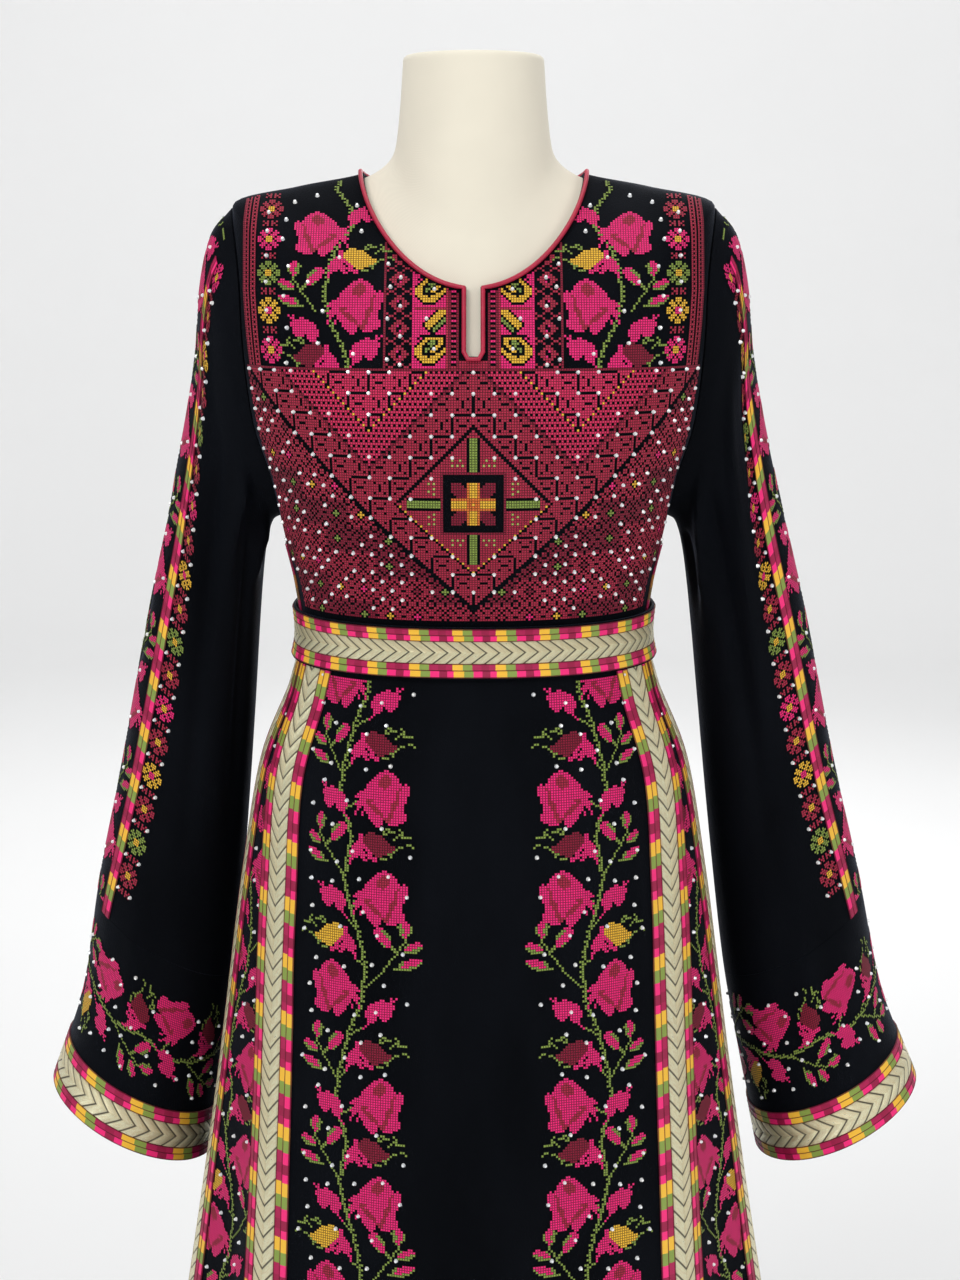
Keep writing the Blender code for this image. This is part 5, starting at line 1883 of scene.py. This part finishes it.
def seam_bands(prefix, seam, sign, low, high):
    """A gold ribbon between two braids down a seam."""
    made = []
    for part, offset, width in BANDS:
        at, length = seam_place(seam, sign, sign * offset, low, high)
        made.append(trim_band(f"{prefix}_{part}", at, length, width, sizes().strip_chevron,
                              sizes().strip_repeat, BAND_GAP))
    return made


def armhole_levels():
    """Levels of fine rows round the armhole, from the underarm to the shoulder tip."""
    turns = np.radians(np.linspace(180.0, 0.0, ARMHOLE_STEPS + 1))
    return level_at(ARMHOLE_MIDDLE_Z + ARMHOLE_HALF_HEIGHT * np.cos(turns))


def slit_level():
    return float(armhole_levels()[SLIT_STEP])


def waist_gap():
    """Half the waist seam's gap, as a change of level."""
    return SEAM_GAP / 2 * float(levels_per_metre(plain_body, WAIST_LEVEL, 90.0))


def along_rows(levels):
    """A level for each place down a grid with these rows."""
    levels = np.asarray(levels)
    return lambda v: np.interp(np.asarray(v) * (len(levels) - 1), np.arange(len(levels)), levels)


def declare_panel(name):
    width, length, area = CUTS[name.removesuffix("_left").removesuffix("_right")]


def make_bodice():
    """The bodice's front with its slit, its back and its two side pieces."""
    low = WAIST_LEVEL + waist_gap()
    under = np.linspace(low, UNDERARM_LEVEL, 14)[:-1]
    over = np.linspace(TIP_LEVEL, NECK_LEVEL, 16)[1:]
    levels_up = np.concatenate([under, armhole_levels(), over])
    rows, half_columns = len(levels_up) - 1, 34
    slit_row = len(under) + SLIT_STEP
    level = along_rows(levels_up)

    def front_angle(u, levels):
        column = np.asarray(u) * (2 * half_columns + 1)
        side = np.where(column > half_columns + 0.5, 1.0, -1.0)
        share = np.where(side > 0, column - half_columns - 1, half_columns - column) / half_columns
        start = angle_of_width(levels, SLIT_HALF_WIDTH)
        return side * (start + (bodice_edge(levels) - start) * share)

    def back_angle(u, levels):
        return 180.0 + (2 * np.asarray(u) - 1) * bodice_edge(levels)

    def above_slit(u, v):
        return abs(u - 0.5) < 0.5 / (2 * half_columns + 1) and v > slit_row / rows

    front = velvet_panel("bodice_front", level, front_angle, 2 * half_columns + 1, rows, cut=above_slit)
    back = velvet_panel("bodice_back", level, back_angle, 2 * half_columns, rows)
    declare_panel("bodice_front")
    declare_panel("bodice_back")
    per_metre = float(levels_per_metre(plain_body, UNDERARM_LEVEL, 90.0))
    top = UNDERARM_LEVEL - UNDERARM_GAPS * SEAM_GAP / 2 * per_metre
    for side, sign in SIDES.items():

        def side_angle(u, levels, sign=sign):
            edge = 90.0 - angle_of_depth(levels, edge_half_depth(levels))
            edge = edge - SEAM_GAP / 2 * degrees_per_metre(plain_body, levels, 90.0)
            return sign * (90.0 + (2 * np.asarray(u) - 1) * edge)

        name = f"bodice_side_{side}"
        panel = velvet_panel(name, along_rows(np.linspace(low, top, 17)), side_angle, 16, 16)
        declare_panel(name)
        for band in seam_bands(f"bodice_band_{side}", "side_seam", sign, low, SIDE_PANEL_TOP_LEVEL):
            declare_band(band, BODICE_BAND_LENGTH, name)


def declare_band(piece, length, under, width=None):
    """Works out a ribbon's or braid's width, from its name unless it is given."""
    width = width or (GOLD_WIDTH if "gold" in piece.name else BRAID_WIDTH)


def make_skirt():
    """The skirt's four panels and the bands on their seams."""
    top = WAIST_LEVEL - waist_gap()
    heights = np.linspace(HEM_Z, float(BODY("side_z", top)), 116)
    level = along_rows(level_at(heights))

    def seam(name, sign):
        return lambda levels: sign * SEAMS(name, levels)

    panels = {
        "skirt_front": (64, seam("front_seam", -1), seam("front_seam", 1)),
        "skirt_side_left": (26, seam("side_seam", -1), seam("front_seam", -1)),
        "skirt_side_right": (26, seam("front_seam", 1), seam("side_seam", 1)),
        "skirt_back": (132, seam("side_seam", 1), lambda levels: 360.0 - SEAMS("side_seam", levels)),
    }
    for name, (columns, start, end) in panels.items():

        def angle(u, levels, start=start, end=end):
            first, last = start(levels), end(levels)
            first = first + SEAM_GAP / 2 * degrees_per_metre(plain_body, levels, first)
            last = last - SEAM_GAP / 2 * degrees_per_metre(plain_body, levels, last)
            return first + (last - first) * u

        panel = velvet_panel(name, level, angle, columns, 115)
        declare_panel(name)
    for side, sign in SIDES.items():
        for seam_name, under in (("front", "skirt_front"), ("side", f"skirt_side_{side}")):
            bands = seam_bands(f"skirt_{seam_name}_band_{side}", f"{seam_name}_seam", sign, 0.0, top)
            for band in bands:
                declare_band(band, SKIRT_BAND_LENGTH, under)


def make_belt():
    """The velvet belt with its ribbon between two braids."""
    inside = BELT_ROOM + BAND_HEIGHT
    reach = BELT_HALF_HEIGHT * float(levels_per_metre(plain_body, WAIST_LEVEL, 90.0))
    columns, rows = 130, 8

    def at(out):
        def point(u, v):
            level = WAIST_LEVEL + (2 * np.asarray(v) - 1) * reach
            return lift(plain_body, level, u * 360.0, np.full(np.shape(u), out))

        return point

    belt = cloth_wall("belt", at(inside + VELVET), at(inside), columns, rows, velvet_cloth(), closed=True)
    base = inside + VELVET + 0.0001
    ring = ring_run(plain_body, WAIST_LEVEL)
    up = float(levels_per_metre(plain_body, WAIST_LEVEL, 90.0))
    for part, low, high in (
        ("braid_lower", -BELT_BRAID_END, -BELT_BRAID_START),
        ("gold", -BELT_GOLD_END, BELT_GOLD_END),
        ("braid_upper", BELT_BRAID_START, BELT_BRAID_END),
    ):
        centre, width = (low + high) / 2 * BELT_HALF_HEIGHT, (high - low) * BELT_HALF_HEIGHT

        def along(away, distance, out, centre=centre):
            level = WAIST_LEVEL + (centre + away) * up
            return lift(plain_body, level, ring.angle(distance % ring.length), out)

        band = trim_band(f"belt_{part}", along, ring.length, width, sizes().belt_chevron,
                         sizes().belt_repeat, base, True)
        declare_band(band, BELT_CUT[0], "belt", width)


def make_sleeves():
    """Both sleeves with their braids, and both cuffs with the trim round their hems."""
    for side, sign in SIDES.items():
        surface = sleeve_of(side)
        gap = SEAM_GAP / 2 * float(levels_per_metre(surface, CUFF_LEVEL, 0.0))

        def full_turn(u, levels):
            return 360.0 * np.asarray(u)

        upper = along_rows(np.linspace(SLEEVE_START_LEVEL, CUFF_LEVEL - gap, 91))
        sleeve = velvet_panel(f"sleeve_{side}", upper, full_turn, 96, 90, surface, closed=True)
        declare_panel(f"sleeve_{side}")
        lower = along_rows(np.linspace(CUFF_LEVEL + gap, HEM_LEVEL, 31))
        cuff = velvet_panel(f"cuff_{side}", lower, full_turn, 96, 30, surface, closed=True)
        declare_panel(f"cuff_{side}")
        first = SLEEVE_START_LEVEL + (CUFF_LEVEL - gap - SLEEVE_START_LEVEL) / SLEEVE_ROWS_DOWN
        levels = np.linspace(first, CUFF_LEVEL - gap, 600)
        for part, edge in (("front", sign), ("back", -sign)):
            run = Run(surface, levels, arc_angle(surface, levels, edge * SLEEVE_BRAID_ARC))

            def along(away, distance, out, run=run, edge=edge, surface=surface):
                level = run.level(distance)
                return lift(surface, level, arc_angle(surface, level, edge * (SLEEVE_BRAID_ARC - away)), out)

            name = f"sleeve_braid_{side}_{part}"
            band = braid_band(f"{name}_trim", along, run.length, BRAID_WIDTH, sizes().strip_repeat,
                              SLEEVE_BRAID_GAP, [name])
            declare_band(band, SLEEVE_BRAID_LENGTH, f"sleeve_{side}")
        make_cuff_trim(side, surface)


def make_cuff_trim(side, surface):
    ring = ring_run(surface, HEM_LEVEL - 0.5)
    reach = GOLD_WIDTH / 2 + BRAID_WIDTH + 3 * SEAM_GAP
    for part, offset, width in BANDS:
        up = reach - offset

        def along(away, distance, out, up=up):
            angle = ring.angle(-distance % ring.length)
            scale = levels_per_metre(surface, np.full(np.shape(angle), HEM_LEVEL - 0.5), angle)
            return lift(surface, HEM_LEVEL - (up + away) * scale, angle, out)

        part_name = {"braid_front": "braid_upper", "braid_back": "braid_hem"}.get(part, part)
        band = trim_band(f"cuff_{side}_{part_name}", along, ring.length, width, sizes().strip_chevron,
                         sizes().strip_repeat, SEAM_GAP, True)
        declare_band(band, ring.length, f"cuff_{side}", width)


def make_binding():
    """The satin cord round the neck opening and down both sides of its slit."""
    away = SLIT_HALF_WIDTH + BINDING_RADIUS
    slit = slit_level()
    bottom = slit - away * float(levels_per_metre(plain_body, slit, 0.0)) * BINDING_FOOT
    turns = np.linspace(8.0, 352.0, 120)
    neck = NECK_LEVEL - BINDING_RADIUS * levels_per_metre(plain_body, np.full(turns.shape, NECK_LEVEL), turns)
    side_levels = np.linspace(bottom, float(neck[0]), 22)[1:]
    side_turns = angle_of_width(side_levels, away)
    foot_turn = float(side_turns[0]) * 0.5
    levels = np.concatenate([[bottom], side_levels, neck, side_levels[::-1], [bottom]])
    angles = np.concatenate([[foot_turn], side_turns, turns, -side_turns[::-1], [-foot_turn]])
    path = lift(plain_body, levels, angles, np.full(levels.shape, BINDING_RADIUS + BINDING_ROOM))
    curve = bpy.data.curves.new("neck_binding_satin", "CURVE")
    curve.dimensions = "3D"
    curve.bevel_depth = BINDING_RADIUS
    curve.bevel_resolution = 3
    spline = curve.splines.new("POLY")
    spline.points.add(len(path) - 1)
    for point, at in zip(spline.points, path):
        point.co = (*at, 1.0)
    spline.use_cyclic_u = True
    draft = bpy.data.objects.new("binding draft", curve)
    mesh = bpy.data.meshes.new_from_object(draft)
    bpy.data.objects.remove(draft)
    new_piece("neck_binding_satin", mesh, satin_binding(), ["neck_binding"], crisp=80.0)


def make_form():
    """The covered form, its pole and the round foot."""
    bottom = float(level_at(FORM_BOTTOM_Z))
    under, over = np.linspace(bottom, WAIST_LEVEL, 20)[:-1], np.linspace(WAIST_LEVEL, TOP_LEVEL, 100)
    levels_up = np.concatenate([under, over])
    rows, columns = len(levels_up) - 1, 96
    level = along_rows(levels_up)
    bm = flat_grid(columns, rows, closed=True)
    place(bm.verts, lambda u, v: form_surface(level(v), u * 360.0))
    for cap in (FORM_BOTTOM_Z, FORM_TOP_Z):
        edges = [e for e in bm.edges if e.is_boundary and abs(e.verts[0].co.z - cap) < 0.1]
        rim = {v for e in edges for v in e.verts}
        for vert in rim:
            vert.co.z = cap
        faces = bmesh.ops.edgeloop_fill(bm, edges=edges)["faces"]
        rounded = [e for face in faces for e in face.edges]
        bmesh.ops.bevel(bm, geom=rounded, offset=0.004, segments=3, profile=0.5, affect="EDGES", material=-1)
    torso = solid_piece("form_cover", bm, form_linen(), ["form_torso"], crisp=60.0)
    pole = bmesh.new()
    low, high = BASE_THICKNESS + SEAM_GAP, FORM_BOTTOM_Z - SEAM_GAP
    bmesh.ops.create_cone(pole, cap_ends=True, segments=64, radius1=POLE_RADIUS, radius2=POLE_RADIUS,
                          depth=high - low, matrix=Matrix.Translation((0, 0, (low + high) / 2)))
    rims = [e for e in pole.edges if abs(e.verts[0].co.z - e.verts[1].co.z) < 1e-6]
    bmesh.ops.bevel(pole, geom=rims, offset=0.0008, segments=2, profile=0.5, affect="EDGES", material=-1)
    solid_piece("steel_pole", pole, satin_steel(), ["form_pole"])
    foot = bmesh.new()
    bmesh.ops.create_cone(foot, cap_ends=True, segments=128, radius1=BASE_RADIUS, radius2=BASE_RADIUS,
                          depth=BASE_THICKNESS, matrix=Matrix.Translation((0, 0, BASE_THICKNESS / 2)))
    rims = [e for e in foot.edges if abs(e.verts[0].co.z - e.verts[1].co.z) < 1e-6]
    bmesh.ops.bevel(foot, geom=rims, offset=0.004, segments=4, profile=0.5, affect="EDGES", material=-1)
    solid_piece("steel_foot", foot, satin_steel(), ["form_base"])


def make_skirt_embroidery():
    """Rose vines down the front panel and the side panels, with their stones."""
    stones = []
    for seed, side in enumerate(SIDES):
        at, rows = vine_place(side)
        canvas, spots = vine_chart(rows)
        cross_stitch(f"front_vine_{side}", canvas, at, seed)
        stones += stone_spots(at, spots)
        at, rows = side_vine_place(side)
        canvas, spots = vine_chart(rows)
        clear = side_vine_mask(side, rows)
        canvas[~clear] = 0
        cross_stitch(f"side_vine_{side}", canvas, at, seed + 10)
        stones += stone_spots(at, [spot for spot in spots if clear[spot]])
    sewn_stones("skirt_stones", stones)


def make_chest_embroidery():
    """The chest panel: its geometric lower field, its upper field and its stones."""
    chest = ChestMap()
    canvas, spots = chest_chart()
    clear = chest.mask()
    canvas = np.where(clear[: canvas.shape[0], : canvas.shape[1]], canvas, 0)
    split = -CHEST_TOP_ROW
    upper = canvas[:split]
    lower = canvas[split:]
    cross_stitch("chest_upper_field", upper, chest.at, 20)
    cross_stitch("chest_lower_field", lower, lambda c, r, out: chest.at(c, r + split, out), 21)
    kept = [spot for spot in spots if spot[1] < canvas.shape[1] and clear[spot]]
    sewn_stones("chest_stones", stone_spots(chest.at, kept))


def make_sleeve_embroidery():
    """The sleeves' vines and rosettes, and the vine round each cuff."""
    stones = []
    for seed, side in enumerate(SIDES):
        at, rows = sleeve_place(side)
        canvas, spots = sleeve_chart(rows)
        cross_stitch(f"sleeve_vine_{side}", canvas, at, seed + 30)
        stones += stone_spots(at, spots)
        at = cuff_place(side)
        canvas, spots = vine_chart(2 * VINE_REPEAT)
        cross_stitch(f"cuff_vine_{side}", canvas.T[::-1], at, seed + 40)
        stones += stone_spots(at, [(VINE_COLUMNS - 1 - column, row) for row, column in spots])
    sewn_stones("sleeve_stones", stones)


def make_stage():
    """A round pale floor that curves up into a backdrop, soft lights and the camera."""
    bm = bmesh.new()
    radius, curve, wall = 5.0, 1.2, 3.4
    profile = [(0.0, 0.0), (1.5, 0.0), (radius, 0.0)]
    for turn in np.radians([15, 30, 45, 60, 75, 90]):
        profile.append((radius + curve * math.sin(turn), curve * (1 - math.cos(turn))))
    profile.append((radius + curve, wall))
    verts = [bm.verts.new((x, 0.0, z)) for x, z in profile]
    edges = [bm.edges.new(pair) for pair in zip(verts[:-1], verts[1:])]
    bmesh.ops.spin(bm, geom=verts + edges, axis=(0, 0, 1), cent=(0, 0, 0), angle=math.tau, steps=96,
                   use_merge=True,
                   use_normal_flip=True)
    bmesh.ops.remove_doubles(bm, verts=bm.verts, dist=1e-5)
    bmesh.ops.recalc_face_normals(bm, faces=bm.faces)
    if next(iter(bm.faces)).normal.z < 0:
        bmesh.ops.reverse_faces(bm, faces=bm.faces)
    mesh = bpy.data.meshes.new("studio_floor")
    bm.to_mesh(mesh)
    bm.free()
    mesh.materials.append(studio_paper())
    mesh.shade_smooth()
    floor = bpy.data.objects.new("studio_floor", mesh)
    bpy.context.scene.collection.objects.link(floor)
    floor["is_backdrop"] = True
    for name, spot, aim, size, power in (
        ("key light", (-1.6, -2.6, 2.9), (0.0, 0.0, 1.15), 1.8, 50.0),
        ("fill light", (2.4, -2.2, 1.8), (0.0, 0.0, 1.0), 2.0, 26.0),
        ("top light", (0.0, 0.4, 3.6), (0.0, 0.0, 1.0), 2.4, 28.0),
        ("back light", (0.8, 3.0, 2.6), (0.0, 0.0, 1.1), 2.0, 26.0),
        ("backdrop light", (0.0, 2.6, 3.4), (0.0, 6.2, 1.0), 3.0, 60.0),
    ):
        light = bpy.data.lights.new(name, "AREA")
        light.size = size
        light.energy = power
        lamp = bpy.data.objects.new(name, light)
        lamp.location = spot
        lamp.rotation_euler = (Vector(aim) - Vector(spot)).to_track_quat("-Z", "Y").to_euler()
        bpy.context.scene.collection.objects.link(lamp)
    world = bpy.context.scene.world or bpy.data.worlds.new("studio")
    bpy.context.scene.world = world
    world.use_nodes = True
    sky = world.node_tree.nodes["Background"]
    sky.inputs["Color"].default_value = (0.96, 0.965, 0.97, 1.0)
    sky.inputs["Strength"].default_value = 0.5
    camera = bpy.data.objects.new("camera", bpy.data.cameras.new("camera"))
    camera.data.lens = CAMERA_LENS
    camera.data.sensor_width = 36.0
    camera.location = CAMERA_PLACE
    camera.rotation_euler = (math.radians(90.0 - CAMERA_PITCH), 0.0, 0.0)
    bpy.context.scene.collection.objects.link(camera)
    bpy.context.scene.camera = camera
    bpy.context.scene.view_settings.view_transform = "Standard"


class THOBE_OT_stage(bpy.types.Operator):
    """Make the studio floor, lights and camera"""

    bl_idname = "thobe.stage"
    bl_label = "Studio"

    def execute(self, context):
        make_stage()
        return {"FINISHED"}


class THOBE_OT_form(bpy.types.Operator):
    """Make the covered dress form and its stand"""

    bl_idname = "thobe.form"
    bl_label = "Dress form"

    def execute(self, context):
        make_form()
        return {"FINISHED"}


class THOBE_OT_bodice(bpy.types.Operator):
    """Make the bodice's velvet panels and side bands"""

    bl_idname = "thobe.bodice"
    bl_label = "Bodice"

    def execute(self, context):
        make_bodice()
        return {"FINISHED"}


class THOBE_OT_skirt(bpy.types.Operator):
    """Make the skirt's velvet panels and the bands on their seams"""

    bl_idname = "thobe.skirt"
    bl_label = "Skirt"

    def execute(self, context):
        make_skirt()
        return {"FINISHED"}


class THOBE_OT_sleeves(bpy.types.Operator):
    """Make the sleeves, cuffs, braids and hem trim"""

    bl_idname = "thobe.sleeves"
    bl_label = "Sleeves and cuffs"

    def execute(self, context):
        make_sleeves()
        return {"FINISHED"}


class THOBE_OT_belt(bpy.types.Operator):
    """Make the belt with its ribbon and braids"""

    bl_idname = "thobe.belt"
    bl_label = "Belt"

    def execute(self, context):
        make_belt()
        return {"FINISHED"}


class THOBE_OT_binding(bpy.types.Operator):
    """Make the satin binding of the neck and slit"""

    bl_idname = "thobe.binding"
    bl_label = "Neck binding"

    def execute(self, context):
        make_binding()
        return {"FINISHED"}


class THOBE_OT_chest_embroidery(bpy.types.Operator):
    """Stitch the chest panel and sew on its stones"""

    bl_idname = "thobe.chest_embroidery"
    bl_label = "Chest embroidery"

    def execute(self, context):
        make_chest_embroidery()
        return {"FINISHED"}


class THOBE_OT_skirt_embroidery(bpy.types.Operator):
    """Stitch the skirt's vines and sew on their stones"""

    bl_idname = "thobe.skirt_embroidery"
    bl_label = "Skirt embroidery"

    def execute(self, context):
        make_skirt_embroidery()
        return {"FINISHED"}


class THOBE_OT_sleeve_embroidery(bpy.types.Operator):
    """Stitch the sleeves and cuffs and sew on their stones"""

    bl_idname = "thobe.sleeve_embroidery"
    bl_label = "Sleeve embroidery"

    def execute(self, context):
        make_sleeve_embroidery()
        return {"FINISHED"}


OPERATORS = (
    THOBE_OT_stage,
    THOBE_OT_form,
    THOBE_OT_bodice,
    THOBE_OT_skirt,
    THOBE_OT_sleeves,
    THOBE_OT_belt,
    THOBE_OT_binding,
    THOBE_OT_chest_embroidery,
    THOBE_OT_skirt_embroidery,
    THOBE_OT_sleeve_embroidery,
)


class THOBE_PT_panel(bpy.types.Panel):
    """Lists the steps that make the thobe, with its sizes and colours"""

    bl_idname = "THOBE_PT_panel"
    bl_label = "Thobe"
    bl_space_type = "VIEW_3D"
    bl_region_type = "UI"
    bl_category = "Thobe"

    def draw(self, context):
        for operator in OPERATORS:
            self.layout.operator(operator.bl_idname)
        for group in (context.scene.thobe_sizes, context.scene.thobe_colours):
            box = self.layout.box()
            for name in group.__annotations__:
                box.prop(group, name)


CLASSES = (ThobeSizes, ThobeColours, *OPERATORS, THOBE_PT_panel)


def register():
    for made in CLASSES:
        bpy.utils.register_class(made)
    bpy.types.Scene.thobe_sizes = PointerProperty(type=ThobeSizes)
    bpy.types.Scene.thobe_colours = PointerProperty(type=ThobeColours)


def unregister():
    del bpy.types.Scene.thobe_colours
    del bpy.types.Scene.thobe_sizes
    for made in reversed(CLASSES):
        bpy.utils.unregister_class(made)


def main():
    register()
    bpy.ops.thobe.stage()
    bpy.ops.thobe.form()
    bpy.ops.thobe.bodice()
    bpy.ops.thobe.skirt()
    bpy.ops.thobe.sleeves()
    bpy.ops.thobe.belt()
    bpy.ops.thobe.binding()
    bpy.ops.thobe.chest_embroidery()
    bpy.ops.thobe.skirt_embroidery()
    bpy.ops.thobe.sleeve_embroidery()
    boxes = {"cad": CAD_BOX, "visual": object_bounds()}
    plain = {name: [[float(value) for value in corner] for corner in box] for name, box in boxes.items()}


if __name__ == "__main__":
    main()
